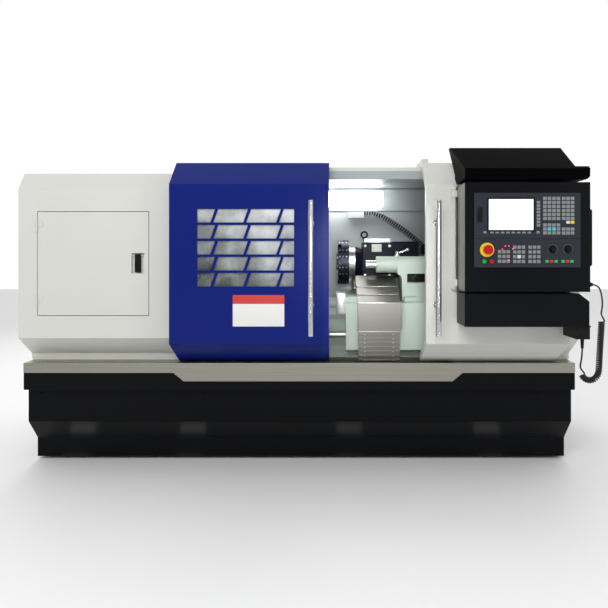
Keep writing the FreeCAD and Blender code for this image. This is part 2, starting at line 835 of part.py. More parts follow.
def door_points():
    """A double-skinned door: a flat front with a bevel above and below."""
    knee = f"({DECK} + door_knee)"
    shoulder = f"({DECK} + door_shoulder)"
    top = f"({DECK} + door_top)"
    foot = f"({DECK} + door_foot)"
    inner = f"({FRONT} + door_skin)"
    return [(f"{FRONT} + door_tuck", foot), (FRONT, knee), (FRONT, shoulder),
            (f"{FRONT} + door_bevel", top), (f"{FRONT} + door_bevel + 25", top),
            (f"{FRONT} + door_bevel + 25", f"{top} - 26"),
            (inner, f"{shoulder} - 15.5"), (inner, f"{knee} + 20"),
            (f"{FRONT} + door_tuck + 26", f"{foot} + 26"),
            (f"{FRONT} + door_tuck + 26", foot)]


def handle(name, x):
    bottom = f"({DECK} + handle_bottom)"
    y = f"({FRONT} - handle_reach)"
    bar = rod(f"{name}_bar", "z", (bottom, f"{bottom} + handle_length"),
              (x, y), "handle_radius")
    pieces = [bar]
    for count, post in enumerate(("handle_post_low", "handle_post_high")):
        z = f"{bottom} + {post}"
        pieces.append(rod(f"{name}_post_{count}", "y", (y, FRONT), (x, z), "post_radius"))
        pieces.append(rod(f"{name}_rose_{count}", "y", (f"{FRONT} - 4", FRONT),
                          (x, z), "post_radius * 1.7"))
    node(fuse(name, *pieces), name)


def hangers(name, left, right):
    """Two shoes that carry a door on the top rail."""
    front = f"({FRONT} + door_bevel + 25)"
    rear = f"({FRONT} + rail_setback + rail_depth)"
    shoes = []
    for count, start in enumerate((f"{left} + shoe_inset",
                                   f"{right} - shoe_inset - shoe_length")):
        x = (start, f"{start} + shoe_length")
        block = box(f"{name}_block_{count}", x,
                    (front, f"{rear} + shoe_gap + shoe_wall"),
                    (f"{RAIL_BOTTOM} + 4", f"{DECK} + door_top - 5"))
        slot = box(f"{name}_slot_{count}", (f"{start} - 1", f"{start} + shoe_length + 1"),
                   (f"{FRONT} + rail_setback - shoe_gap", f"{rear} + shoe_gap"),
                   (RAIL_BOTTOM, f"{RAIL_TOP} + shoe_gap"))
        relief = box(f"{name}_relief_{count}",
                     (f"{start} - 1", f"{start} + shoe_length + 1"),
                     (f"{front} - 1", f"{FRONT} + rail_setback - shoe_gap - shoe_wall"),
                     (RAIL_BOTTOM, f"{ROOF} + header_rise + 1.5"))
        shoes.append(cut(f"{name}_shoe_{count}", block, slot, relief))
    node(fuse(name, *shoes), name)


def window_rows():
    """The slots of the window, as spans on X and Z."""
    left = f"({LEFT_DOOR} + window_left)"
    bottom = f"({DECK} + window_bottom)"
    rows = []
    for row in range(int(SIZES["window_rows"])):
        low = spread(bottom, "row_pitch", row)
        rows.append(((left, f"{left} + window_width"), (low, f"{low} + row_height")))
    return rows


def window_bar(name, x, z):
    """A bar of a window slot that leans with its top to the right."""
    item = doc.addObject("Part::Box", name)
    bind(item, "Length", "bar_width")
    bind(item, "Width", "face_skin")
    bind(item, "Height", "row_height * 1.2")
    item.Placement = Placement(Vector(), Rotation(Vector(0, 1, 0), SIZES["bar_lean"]))
    move(item, x=f"{x} - 2", y=FRONT, z=f"{z} - 5")
    return item


def sliding_door():
    body = outline("left_door_sheet", "yz", door_points(),
                   (LEFT_DOOR, f"{LEFT_DOOR} + left_door_length"))
    inner = [(f"{across} + 3", up) for across, up in door_points()[:5]]
    inner += door_points()[5:]
    flange = outline("left_door_flange", "yz", inner,
                     (f"{LEFT_DOOR} + left_door_length - 1", LEFT_DOOR_END))
    rows = window_rows()
    (left, right), (low, _) = rows[0]
    high = rows[-1][1][1]
    pocket = box("window_pocket",
                 (f"{left} - glass_border", f"{right} + glass_border"),
                 (f"{FRONT} + face_skin", f"{FRONT} + door_skin + 1"),
                 (f"{low} - glass_border", f"{high} + glass_border"))
    slots = []
    bars = []
    for row, (x, z) in enumerate(rows):
        slots.append(box(f"window_slot_{row}", x, (f"{FRONT} - 1", f"{FRONT} + 12"), z))
        for count in range(int(SIZES["window_bars"])):
            start = spread(f"{x[0]} + bar_start", "bar_pitch", count)
            bars.append(window_bar(f"window_bar_{row}_{count}", start, z[0]))
    slot_block = fuse("window_slots", *slots)
    grille = doc.addObject("Part::Common", "window_grille")
    grille.Base = fuse("window_bars_full", *bars)
    grille.Tool = slot_block
    opened = cut("left_door_open", fuse("left_door_blank", body, flange),
                 pocket, slot_block)
    node(fuse("sliding_door", opened, grille), "sliding_door")
    pane = box("door_window",
               (f"{left} - glass_border + 2", f"{right} + glass_border - 2"),
               (f"{FRONT} + face_skin", f"{FRONT} + face_skin + glass"),
               (f"{low} - glass_border + 2", f"{high} + glass_border - 2"))
    node(pane, "door_window")


def right_door():
    end = f"{RIGHT_DOOR} + right_door_length"
    body = outline("right_door_sheet", "yz", door_points(), (RIGHT_DOOR, end))
    roof = box("right_door_roof", (RIGHT_DOOR, end),
               (f"{FRONT} + door_bevel", f"{FRONT} + door_bevel + roof_depth"),
               (f"{DECK} + door_top - 3", f"{DECK} + door_top"))
    lip = box("right_door_lip", (RIGHT_DOOR, f"{RIGHT_DOOR} + 3"),
              (f"{FRONT} + door_bevel", f"{FRONT} + door_bevel + roof_depth"),
              (f"{DECK} + door_top - lip_height", f"{DECK} + door_top - 1"))
    shoe_cover = box("right_door_shoe_cover",
                     (RIGHT_DOOR, f"{RIGHT_DOOR} + shoe_cover_width"),
                     (f"{FRONT} + door_bevel", f"{FRONT} + door_bevel + shoe_cover_depth"),
                     (f"{DECK} + door_top - 1", f"{DECK} + door_top + shoe_cover_height"))
    pieces = [body, roof, lip, shoe_cover]
    for side, z in (("low", f"{PANEL_BOTTOM} + 2"), ("high", f"{PANEL_TOP} - 14")):
        pieces.append(rod(f"swivel_arm_{side}", "z", (z, f"{z} + 12"),
                          (SWIVEL_X, SWIVEL_Y), "swivel_knuckle"))
        pieces.append(box(f"swivel_foot_{side}",
                          (f"{SWIVEL_X} - swivel_knuckle", f"{SWIVEL_X} + swivel_knuckle"),
                          (SWIVEL_Y, FRONT), (z, f"{z} + 12")))
    pieces.append(rod("swivel_pin", "z", (f"{PANEL_BOTTOM} + 2", f"{PANEL_TOP} - 4"),
                      (SWIVEL_X, SWIVEL_Y), "swivel_radius"))
    node(fuse("right_door", *pieces), "right_door")


def panel_hood():
    shoulder = f"({DECK} + door_shoulder)"
    low = f"({PANEL_TOP} + visor_gap)"
    top = f"({DECK} + hood_top)"
    bevel_rise = "(door_top - door_shoulder) / door_bevel * hood_back"
    side = [(PANEL_FRONT, low), (PANEL_FRONT, f"{low} + visor_height"),
            (FRONT, top), (f"{FRONT} + hood_back", top),
            (f"{FRONT} + hood_back", f"{shoulder} + {bevel_rise}"),
            (FRONT, shoulder), (FRONT, low)]
    front = [(PANEL, low), (f"{PANEL_END} - 12", low), (PANEL_END, f"{low} + 12"),
             (PANEL_END, f"{low} + visor_height + ledge_rise"),
             (f"{PANEL_END} - hood_slope", f"{low} + visor_height + ledge_rise"),
             (f"{PANEL_END} - hood_slope", top), (f"{PANEL} - hood_slope / 2", top),
             (PANEL, f"{low} + visor_height")]
    span = (f"{PANEL} - hood_slope", PANEL_END)
    hood = doc.addObject("Part::Common", "panel_hood")
    hood.Base = outline("hood_side", "yz", side, span)
    hood.Tool = outline("hood_front", "xz", front,
                        (PANEL_FRONT, f"{FRONT} + hood_back"))
    node(hood, "panel_hood")


# ---------------------------------------------------------------- control panel

def button_places():
    """Name, x, z and hole radius of each control that goes through the face."""
    bottom = f"({FACE_BOTTOM} + {{}})"
    places = [("estop", f"({FACE} + estop_left)", bottom.format("estop_height"),
               "stem_radius")]
    for count, name in enumerate(("start", "stop")):
        places.append((name, f"({FACE} + push_left + push_pitch * {count})",
                       bottom.format("push_height"), "push_radius - 3"))
    for count, name in enumerate(("feed", "speed")):
        places.append((name, f"({FACE} + knob_left + knob_pitch * {count})",
                       bottom.format("knob_height"), "5"))
    return places


def button_holes(owner):
    return [rod(f"{owner}_hole_{name}", "y",
                (f"{FACE_FRONT} - 5", f"{PANEL_FRONT} + button_bore"),
                (x, z), f"{radius} + running_gap * 2")
            for name, x, z, radius in button_places()]


def panel_box():
    back = f"({FRONT} - panel_back_gap)"
    case = box("panel_case", (PANEL, PANEL_END), (PANEL_FRONT, back),
               (PANEL_BOTTOM, PANEL_TOP))
    bored = cut("panel_case_bored", case, *button_holes("box"))
    pieces = [bored]
    for side, z in (("low", f"({PANEL_BOTTOM} + 17)"),
                    ("high", f"({PANEL_TOP} - 17 - swivel_height)")):
        span = (z, f"{z} + swivel_height")
        knuckle = rod(f"panel_knuckle_{side}", "z", span, (SWIVEL_X, SWIVEL_Y),
                      "swivel_knuckle")
        web = box(f"panel_web_{side}", (SWIVEL_X, f"{PANEL} + 1"),
                  (f"{SWIVEL_Y} - swivel_knuckle", f"{SWIVEL_Y} + swivel_knuckle - 3"), span)
        bore = rod(f"panel_bore_{side}", "z", (f"{z} - 1", f"{z} + swivel_height + 1"),
                   (SWIVEL_X, SWIVEL_Y), "swivel_radius + running_gap")
        pieces.append(cut(f"panel_lug_{side}", fuse(f"panel_lug_blank_{side}", knuckle, web),
                          bore))
    node(fuse("panel_box", *pieces), "panel_box")


def lower_console():
    bottom = f"({DECK} + console_bottom)"
    top = f"({bottom} + console_height)"
    points = [(PANEL, bottom), (PANEL_END, bottom), (PANEL_END, f"{top} - 34"),
              (f"{PANEL_END} - 44", top), (PANEL, top)]
    body = outline("console_case", "xz", points,
                   (f"{PANEL_FRONT} + console_setin", f"{FRONT} - panel_back_gap - 10"))
    neck = box("console_neck", (f"{PANEL} + 80", f"{PANEL_END} - 100"),
               (f"{PANEL_FRONT} + 30", f"{FRONT} - 30"), (f"{top} - 1", PANEL_BOTTOM))
    node(fuse("lower_console", body, neck), "lower_console")


def control_panel():
    plate = box("face_sheet", (FACE, f"{FACE} + face_width"),
                (FACE_FRONT, PANEL_FRONT), (FACE_BOTTOM, FACE_TOP))
    split = f"({FACE_BOTTOM} + face_split)"
    groove = box("face_groove", (f"{FACE} - 1", f"{FACE} + face_width + 1"),
                 (f"{FACE_FRONT} - 1", f"{FACE_FRONT} + groove"),
                 (f"{split} - groove / 2", f"{split} + groove / 2"))
    left = f"({FACE} + screen_left)"
    top = f"({FACE_TOP} - screen_drop)"
    screen = box("screen_recess", (left, f"{left} + screen_width"),
                 (f"{FACE_FRONT} - 1", f"{FACE_FRONT} + groove"),
                 (f"{top} - screen_height", top))
    bored = cut("face_bored", plate, groove, screen, *button_holes("face"))
    ring_x, ring_z = button_places()[0][1:3]
    ring = rod("estop_ring_blank", "y", (f"{FACE_FRONT} - 3", FACE_FRONT),
               (ring_x, ring_z), "estop_radius")
    hole = rod("estop_ring_hole", "y", (f"{FACE_FRONT} - 5", f"{FACE_FRONT} + 5"),
               (ring_x, ring_z), "stem_radius + running_gap * 2")
    node(fuse("control_panel", bored, cut("estop_ring", ring, hole)), "control_panel")


KEY_FIELDS = [
    # left, top (from the face's left edge and top), columns, rows, column pitch,
    # row pitch, width, height
    (67, 161, 8, 1, 22.5, 14.0, 15.0, 10.0),
    (39, 161, 1, 1, 22.5, 14.0, 13.0, 10.0),
    (262.5, 161, 1, 1, 22.5, 14.0, 13.0, 10.0),
    (263, 34.5, 1, 8, 22.0, 13.9, 15.0, 10.5),
    (290, 17, 4, 6, 18.9, 16.9, 15.5, 13.5),
    (369, 17, 3, 6, 18.5, 16.9, 15.5, 13.5),
    (387.5, 118, 2, 1, 18.5, 14.0, 15.5, 12.0),
    (290, 129, 4, 3, 18.9, 16.6, 15.5, 13.5),
    (369, 146, 3, 2, 18.5, 16.6, 15.5, 13.5),
    (99.5, 241, 3, 3, 18.2, 20.0, 14.5, 14.0),
    (163.5, 222, 3, 4, 18.2, 20.0, 14.5, 14.0),
    (228, 222, 3, 4, 18.2, 20.0, 14.5, 14.0),
    (299.5, 283, 3, 1, 19.2, 14.0, 14.0, 11.0),
    (367, 283, 3, 1, 18.6, 14.0, 14.0, 11.0),
]


def panel_keys():
    keys = []
    for field, (left, top, columns, rows, across, down, wide, high) in enumerate(KEY_FIELDS):
        for column in range(columns):
            for row in range(rows):
                x = f"{FACE} + {left + column * across}"
                z = f"{FACE_TOP} - {top + row * down}"
                keys.append(box(f"key_{field}_{column}_{row}", (x, f"{x} + {wide}"),
                                (f"{FACE_FRONT} - key_rise", FACE_FRONT),
                                (f"{z} - {high}", z)))
    item = doc.addObject("Part::Compound", "panel_keys")
    item.Links = keys
    node(item, "panel_keys")


def side_grip():
    low = f"({PANEL_BOTTOM} + grip_bottom)"
    high = f"({low} + grip_height)"
    out = f"({PANEL_END} + grip_reach)"
    outer = [(PANEL_END, low), (out, f"{low} + grip_slope"),
             (out, f"{high} - grip_slope"), (PANEL_END, high)]
    inner = [(PANEL_END, f"{low} + grip_bar * 1.6"),
             (f"{out} - grip_bar", f"{low} + grip_slope + grip_bar"),
             (f"{out} - grip_bar", f"{high} - grip_slope - grip_bar"),
             (PANEL_END, f"{high} - grip_bar * 1.6")]
    front = f"{PANEL_FRONT} + 50"
    loop = outline("grip_loop", "xz", outer, (front, f"{front} + 46"))
    gap = outline("grip_gap", "xz", inner, (f"{front} - 1", f"{front} + 47"))
    node(cut("side_grip", loop, gap), "side_grip")


def estop_button():
    name, x, z, radius = button_places()[0]
    cap = rod("estop_cap", "y", (f"{FACE_FRONT} - 27", f"{FACE_FRONT} - 15"),
              (x, z), "mushroom_radius")
    skirt = rod("estop_skirt", "y", (f"{FACE_FRONT} - 15", f"{FACE_FRONT} - 9"),
                (x, z), "mushroom_radius", "stem_radius")
    stem = rod("estop_stem", "y", (f"{FACE_FRONT} - 10", f"{PANEL_FRONT} + 10"),
               (x, z), "stem_radius")
    node(fuse("estop_button", cap, skirt, stem), "estop_button")


def push_button(index):
    name, x, z, radius = button_places()[index]
    cap = rod(f"{name}_cap", "y", (f"{FACE_FRONT} - 8", f"{FACE_FRONT} - 4"),
              (x, z), "push_radius")
    stem = rod(f"{name}_stem", "y", (f"{FACE_FRONT} - 5", f"{PANEL_FRONT} + 10"),
               (x, z), radius)
    node(fuse(f"{name}_button", cap, stem), f"{name}_button")


def override_knob(index):
    name, x, z, radius = button_places()[index]
    skirt = rod(f"{name}_skirt", "y", (f"{FACE_FRONT} - 5", f"{FACE_FRONT} - body_gap"),
                (x, z), "knob_radius + 3")
    grip = rod(f"{name}_grip", "y", (f"{FACE_FRONT} - knob_depth", f"{FACE_FRONT} - 5"),
               (x, z), "knob_radius - 2", "knob_radius")
    stem = rod(f"{name}_stem", "y", (f"{FACE_FRONT} - 4", f"{PANEL_FRONT} + 10"),
               (x, z), radius)
    pointer = box(f"{name}_pointer", (f"{x} - 1.5", f"{x} + 1.5"),
                  (f"{FACE_FRONT} - knob_depth - 2", f"{FACE_FRONT} - knob_depth + 3"),
                  (z, f"{z} + knob_radius - 3"))
    node(fuse(f"{name}_knob", skirt, grip, stem, pointer), f"{name}_knob")


def pendant_unit():
    x = (UNIT, f"{UNIT} + unit_width")
    y = (f"{FRONT} - unit_front", f"{FRONT} - unit_front + unit_length")
    case = box("unit_case", x, y, (UNIT_BOTTOM, UNIT_TOP))
    relief = rod("unit_relief", "z",
                 (f"{UNIT_BOTTOM} - relief_height", f"{UNIT_BOTTOM} + 1"),
                 (f"{UNIT} + unit_width / 2", CORD_Y), "relief_radius * 0.7", "relief_radius")
    hole = rod("unit_hole", "x", (f"{UNIT} + unit_width / 2", f"{UNIT} + unit_width + 1"),
               (UNIT_Y, UNIT_Z), "5 + running_gap")
    node(cut("pendant_unit", fuse("unit_blank", case, relief), hole), "pendant_unit")


def unit_wheel():
    side = f"({UNIT} + unit_width)"
    rim = rod("unit_rim", "x", (f"{side} + 2", f"{side} + 2 + wheel_width"),
              (UNIT_Y, UNIT_Z), "wheel_radius - 4")
    flange = rod("unit_flange", "x", (f"{side} + 2", f"{side} + 8"),
                 (UNIT_Y, UNIT_Z), "wheel_radius - 3")
    shaft = rod("unit_shaft", "x", (f"{UNIT} + unit_width / 2 + 2", f"{side} + 3"),
                (UNIT_Y, UNIT_Z), "5")
    knob = rod("unit_finger", "x",
               (f"{side} + 2 + wheel_width", f"{side} + 2 + wheel_width + 14"),
               (UNIT_Y, f"{UNIT_Z} + wheel_radius - 11"), "4")
    node(fuse("unit_wheel", rim, flange, shaft, knob), "unit_wheel")


# ---------------------------------------------------------------- cord

CORD_LEAD = [(1270.6, 889.0), (1290.0, 886.0), (1304.0, 866.0), (1311.0, 832.0),
        (1312.9, 794.9), (1311.0, 764.0)]
CORD_COIL = [(1311.0, 764.0), (1305.0, 665.0), (1299.0, 575.0), (1296.0, 496.0),
        (1258.0, 474.1), (1220.0, 496.0), (1221.0, 536.0)]
CORD_TAIL = [(1221.0, 536.0), (1221.65, 562.0), (1225.0, 588.0), (1226.0, 614.5)]


def cord_tube(name, points, radius):
    """A tube along straight runs joined by arcs as large as the runs allow."""
    y = value(CORD_Y)
    shift = value(PANEL_END) - 1247
    lift = value(DECK) - 502.5
    path = [Vector(x + shift, y, z + lift) for x, z in points]
    edges = []
    start = path[0]
    radii = []
    for before, corner, after in zip(path, path[1:], path[2:]):
        back = (before - corner).normalize()
        ahead = (after - corner).normalize()
        half = (math.pi - back.getAngle(ahead)) / 2
        run = 0.45 * min((before - corner).Length, (after - corner).Length)
        bend = run / math.tan(half)
        radii.append(round(bend))
        enter = corner + back * run
        leave = corner + ahead * run
        inward = (back + ahead).normalize()
        centre = corner + inward * (bend / math.cos(half))
        middle = centre - inward * bend
        edges.append(Part.LineSegment(start, enter).toShape())
        edges.append(Part.Arc(enter, middle, leave).toShape())
        start = leave
    edges.append(Part.LineSegment(start, path[-1]).toShape())
    wire = Part.Wire(edges)
    circle = Part.makeCircle(radius, path[0], path[1] - path[0])
    solid = wire.makePipeShell([Part.Wire([circle])], True, False)
    wanted = math.pi * radius ** 2 * wire.Length
    print(name, "length", round(wire.Length), "radii", radii,
          "volume ratio", round(solid.Volume / wanted, 4))
    node(made(name, solid), name)


def cord():
    sleeve = rod("gland_sleeve", "x", (PANEL_END, f"{PANEL_END} + gland_length * 0.5"),
                 (CORD_Y, GLAND_Z), "gland_radius")
    nose = rod("gland_nose", "x",
               (f"{PANEL_END} + gland_length * 0.5", f"{PANEL_END} + gland_length"),
               (CORD_Y, GLAND_Z), "gland_radius", "cord_radius * 1.8")
    node(fuse("cord_gland", sleeve, nose), "cord_gland")
    cord_tube("cord_lead", CORD_LEAD, value("cord_radius"))
    cord_tube("cord_coil", CORD_COIL, value("coil_radius"))
    cord_tube("cord_tail", CORD_TAIL, value("cord_radius"))


# ---------------------------------------------------------------- bed and headstock

def lathe_bed():
    low = f"({BED_TOP} - way_height)"
    web_front = f"{BED_FRONT} + waist"
    web_rear = f"{BED_REAR} - waist"
    slot = f"{BED_TOP} - way_height + 10"
    points = [(BED_FRONT, DECK), (BED_FRONT, f"{DECK} + 26"),
              (web_front, f"{DECK} + 48"), (web_front, f"{low} - 25"), (BED_FRONT, low),
              (BED_FRONT, BED_TOP), (f"{BED_FRONT} + way_width", BED_TOP),
              (f"{BED_FRONT} + way_width", slot), (f"{BED_REAR} - way_width", slot),
              (f"{BED_REAR} - way_width", BED_TOP), (BED_REAR, BED_TOP),
              (BED_REAR, low), (web_rear, f"{low} - 25"),
              (web_rear, f"{DECK} + 48"), (BED_REAR, f"{DECK} + 26"), (BED_REAR, DECK)]
    body = outline("bed_casting", "yz", points,
                   (f"{BULKHEAD} - bed_head_length", BEARING_END))
    pieces = [body]
    for side, start in (("left", f"{BULKHEAD} + 15"),
                        ("right", f"{BEARING_END} - bearing_length")):
        x = (start, f"{start} + bearing_length")
        block = box(f"bearing_block_{side}", x,
                    (f"{SCREW_Y} - bearing_half", f"{BED_FRONT} + waist + 1"),
                    (f"{SCREW_Z} - bearing_half", f"{SCREW_Z} + bearing_half"))
        bore = rod(f"bearing_bore_{side}", "x", (f"{x[0]} - 1", f"{x[1]} + 1"),
                   (SCREW_Y, SCREW_Z), "screw_radius + running_gap")
        pieces.append(cut(f"screw_bearing_{side}", block, bore))
    node(fuse("lathe_bed", *pieces), "lathe_bed")


def headstock():
    right = f"({BULKHEAD} - head_gap)"
    left = f"({right} - head_length)"
    case = box("head_case", (left, right),
               (f"{AXIS_Y} - head_half", f"{AXIS_Y} + head_half"),
               (BED_TOP, f"{AXIS_Z} + head_rise"))
    hub = rod("head_hub", "x", (f"{right} - 1", f"{BULKHEAD} - 5"), (AXIS_Y, AXIS_Z),
              "nose_radius")
    bore = rod("head_bore", "x", (f"{left} - 1", f"{BULKHEAD} + 5"),
               (AXIS_Y, AXIS_Z), "spindle_radius + running_gap")
    node(cut("headstock", fuse("head_blank", case, hub), bore), "headstock")


def pulley_left():
    return f"({BULKHEAD} - head_gap - head_length - 10 - pulley_width)"


def spindle():
    left = f"({pulley_left()} - 60)"
    shaft = rod("spindle_shaft", "x", (left, CHUCK), (AXIS_Y, AXIS_Z), "spindle_radius")
    nose = rod("spindle_nose", "x", (f"{CHUCK} - nose_length", CHUCK),
               (AXIS_Y, AXIS_Z), "nose_radius")
    bore = rod("spindle_through", "x", (f"{left} - 1", f"{CHUCK} + 1"),
               (AXIS_Y, AXIS_Z), "spindle_bore")
    node(cut("spindle", fuse("spindle_blank", shaft, nose), bore), "spindle")


def chuck():
    body = rod("chuck_disc", "x", (CHUCK, CHUCK_FACE), (AXIS_Y, AXIS_Z), "chuck_radius")
    step = rod("chuck_collar", "x", (f"{CHUCK_FACE} - 1", f"{CHUCK_FACE} + 4"),
               (AXIS_Y, AXIS_Z), "chuck_radius * 0.5")
    hole = rod("chuck_hole", "x", (f"{CHUCK} - 1", f"{CHUCK_FACE} + 6"),
               (AXIS_Y, AXIS_Z), "spindle_bore")
    slots = []
    for count in range(3):
        about = (AXIS_Y, AXIS_Z, 120 * count)
        half = "jaw_width / 2"
        slots.append(box(f"jaw_slot_{count + 1}",
                         (f"{CHUCK_FACE} - jaw_sink - slide_gap", f"{CHUCK_FACE} + 6"),
                         (f"-{half} - slide_gap", f"{half} + slide_gap"),
                         ("spindle_bore - 10", "chuck_radius + 10"), about))
        jaw = box(f"jaw_base_{count + 1}",
                  (f"{CHUCK_FACE} - jaw_sink", f"{CHUCK_FACE} + 10"),
                  (f"-{half}", half), ("jaw_root", "jaw_root + jaw_height"), about)
        step_one = box(f"jaw_step_{count + 1}",
                       (f"{CHUCK_FACE} + 10", f"{CHUCK_FACE} + jaw_reach"),
                       (f"-{half} + 3", f"{half} - 3"),
                       ("jaw_root", "jaw_root + jaw_height * 0.62"), about)
        name = f"chuck_jaw_{count + 1}"
        node(fuse(name, jaw, step_one), name)
    node(cut("chuck_body", fuse("chuck_blank", body, step), hole, *slots), "chuck_body")


def pulley(name, centre, radius, inner):
    left = pulley_left()
    x = (left, f"{left} + pulley_width")
    rim = rod(f"{name}_rim", "x", x, centre, radius)
    near = rod(f"{name}_edge_left", "x", (f"{x[0]} - 5", x[0]), centre, f"{radius} + 5")
    far = rod(f"{name}_edge_right", "x", (x[1], f"{x[1]} + 5"), centre, f"{radius} + 5")
    bore = rod(f"{name}_bore", "x", (f"{x[0]} - 6", f"{x[1]} + 6"), centre, inner)
    node(cut(name, fuse(f"{name}_blank", rim, near, far), bore), name)


MOTOR_Y = f"({AXIS_Y} + motor_back)"
MOTOR_Z = f"({AXIS_Z} - motor_drop)"


def main_motor():
    left = f"({pulley_left()} + pulley_width + 12)"
    half = "motor_size / 2"
    case = box("motor_case", (left, f"{left} + motor_length"),
               (f"{MOTOR_Y} - {half}", f"{MOTOR_Y} + {half}"),
               (f"{MOTOR_Z} - {half}", f"{MOTOR_Z} + {half}"))
    base = box("motor_base", (f"{left} + 30", f"{left} + motor_length - 30"),
               (f"{MOTOR_Y} - {half} + 20", f"{MOTOR_Y} + {half} - 20"),
               (DECK, f"{MOTOR_Z} - {half} + 1"))
    bore = rod("motor_bore", "x", (f"{left} - 5", f"{left} + 90"), (MOTOR_Y, MOTOR_Z),
               "motor_radius + running_gap")
    node(cut("main_motor", fuse("motor_blank", case, base), bore), "main_motor")


def motor_pulley():
    left = pulley_left()
    centre = (MOTOR_Y, MOTOR_Z)
    rim = rod("motor_rim", "x", (left, f"{left} + pulley_width"), centre,
              "motor_pulley_radius")
    near = rod("motor_edge_left", "x", (f"{left} - 5", left), centre,
               "motor_pulley_radius + 5")
    far = rod("motor_edge_right", "x",
              (f"{left} + pulley_width", f"{left} + pulley_width + 5"), centre,
              "motor_pulley_radius + 5")
    shaft = rod("motor_shaft", "x", (f"{left} - 5", f"{left} + pulley_width + 90"),
                centre, "motor_radius")
    node(fuse("motor_pulley", rim, near, far, shaft), "motor_pulley")


def drive_belt():
    """A closed loop just clear of both pulleys."""
    gap = value("body_gap")
    thick = value("belt_thickness")
    left = value(pulley_left()) + 3
    width = value("pulley_width") - 6
    big = Vector(left, value(AXIS_Y), value(AXIS_Z))
    small = Vector(left, value(MOTOR_Y), value(MOTOR_Z))
    along = (small - big).normalize()
    across = along.cross(Vector(1, 0, 0))
    lean = math.asin((value("pulley_radius") - value("motor_pulley_radius"))
                     / (small - big).Length)

    def loop(extra):
        big_radius = value("pulley_radius") + extra
        small_radius = value("motor_pulley_radius") + extra
        normals = [along * math.sin(lean) + across * math.cos(lean) * side
                   for side in (1, -1)]
        edges = [
            Part.Arc(big + normals[0] * big_radius, big - along * big_radius,
                     big + normals[1] * big_radius).toShape(),
            Part.LineSegment(big + normals[1] * big_radius,
                             small + normals[1] * small_radius).toShape(),
            Part.Arc(small + normals[1] * small_radius, small + along * small_radius,
                     small + normals[0] * small_radius).toShape(),
            Part.LineSegment(small + normals[0] * small_radius,
                             big + normals[0] * big_radius).toShape()]
        return Part.Face(Part.Wire(edges)).extrude(Vector(width, 0, 0))

    node(made("drive_belt", loop(gap + thick).cut(loop(gap))), "drive_belt")


def feed_screw():
    screw = rod("z_screw", "x", (f"{BULKHEAD} + 12", f"{DIVIDER} + skin - 1"),
                (SCREW_Y, SCREW_Z), "screw_radius")
    node(screw, "z_screw")
    half = "feed_motor_half"
    left = f"({DIVIDER} + skin)"
    case = box("z_motor_case", (left, f"{left} + feed_motor_length"),
               (f"{SCREW_Y} - {half}", f"{SCREW_Y} + {half}"),
               (f"{SCREW_Z} - {half}", f"{SCREW_Z} + {half}"))
    plug = box("z_motor_plug", (f"{left} + 60", f"{left} + 110"),
               (f"{SCREW_Y} - 20", f"{SCREW_Y} + 20"),
               (f"{SCREW_Z} + {half} - 1", f"{SCREW_Z} + {half} + 34"))
    node(fuse("z_motor", case, plug), "z_motor")


# ---------------------------------------------------------------- carriage

def saddle():
    front = f"({BED_FRONT} - saddle_front)"
    plate = box("saddle_plate", (SADDLE, f"{SADDLE} + saddle_length"),
                (front, f"{BED_REAR} + saddle_rear"),
                (f"{BED_TOP} + slide_gap", SADDLE_TOP))
    apron_y = (f"{BED_FRONT} - apron_depth - 5", f"{BED_FRONT} - 5")
    apron = box("apron_case", (SADDLE, f"{SADDLE} + apron_length"), apron_y,
                (f"{BED_TOP} - apron_height", f"{BED_TOP} + slide_gap"))
    nut = rod("apron_nut", "x", (f"{SADDLE} + 40", f"{SADDLE} + 150"),
              (SCREW_Y, SCREW_Z), "screw_radius + 12")
    bore = rod("apron_bore", "x", (f"{SADDLE} - 1", f"{SADDLE} + apron_length + 1"),
               (SCREW_Y, SCREW_Z), "screw_radius + running_gap * 2")
    block = box("saddle_block", (f"{SADDLE} - block_length", f"{SADDLE} + 1"),
                (apron_y[0], f"{BED_FRONT} + 110"),
                (f"{BED_TOP} + slide_gap", f"{BED_TOP} + 46"))
    drop = box("saddle_block_drop", (f"{SADDLE} - block_length", f"{SADDLE} + 1"),
               (apron_y[0], f"{BED_FRONT} - 5"),
               (f"{BED_TOP} - 52", f"{BED_TOP} + slide_gap"))
    stub = rod("saddle_stub", "x", (f"{SADDLE} - block_length - 25",
                                    f"{SADDLE} - block_length + 1"),
               (f"{BED_FRONT} - 28", f"{BED_TOP} - 4"), "20")
    tracks = []
    for side, x in (("left", f"({SADDLE} + track_inset)"),
                    ("right", f"({SADDLE} + saddle_length - 16 - track_width)")):
        tracks.append(box(f"track_{side}", (x, f"{x} + track_width"),
                          (f"{AXIS_Y} - 100", f"{BED_REAR} + saddle_rear - 10"),
                          (f"{SADDLE_TOP} - 1", TRACK_TOP)))
    blank = fuse("saddle_blank", plate, apron, nut, block, drop, stub, *tracks)
    node(cut("saddle", blank, bore), "saddle")


def stage_plate(name, step):
    """One leaf of the sloping cover, higher and further back by each step."""
    slope = "tan(stage_slope)"
    start = f"({FRONT} + shield_setback + 10 + stage_pitch * {step})"
    low = f"({BED_TOP} + stage_pitch * {step} * {slope} + stage_lift * {step})"
    rise = f"stage_depth * {slope}"
    points = [(start, low), (f"{start} + stage_depth", f"{low} + {rise}"),
              (f"{start} + stage_depth", f"{low} + {rise} + stage_skin"),
              (start, f"{low} + stage_skin")]
    if step:
        lip = "(stage_lift - stage_skin - 0.4)"
        points[:1] = [(start, f"{low} - {lip}"),
                      (f"{start} + 6", f"{low} + 6 * {slope} - {lip}"),
                      (f"{start} + 6", f"{low} + 6 * {slope}")]
    return outline(name, "yz", points, (SHIELD, f"{SHIELD} + shield_length"))


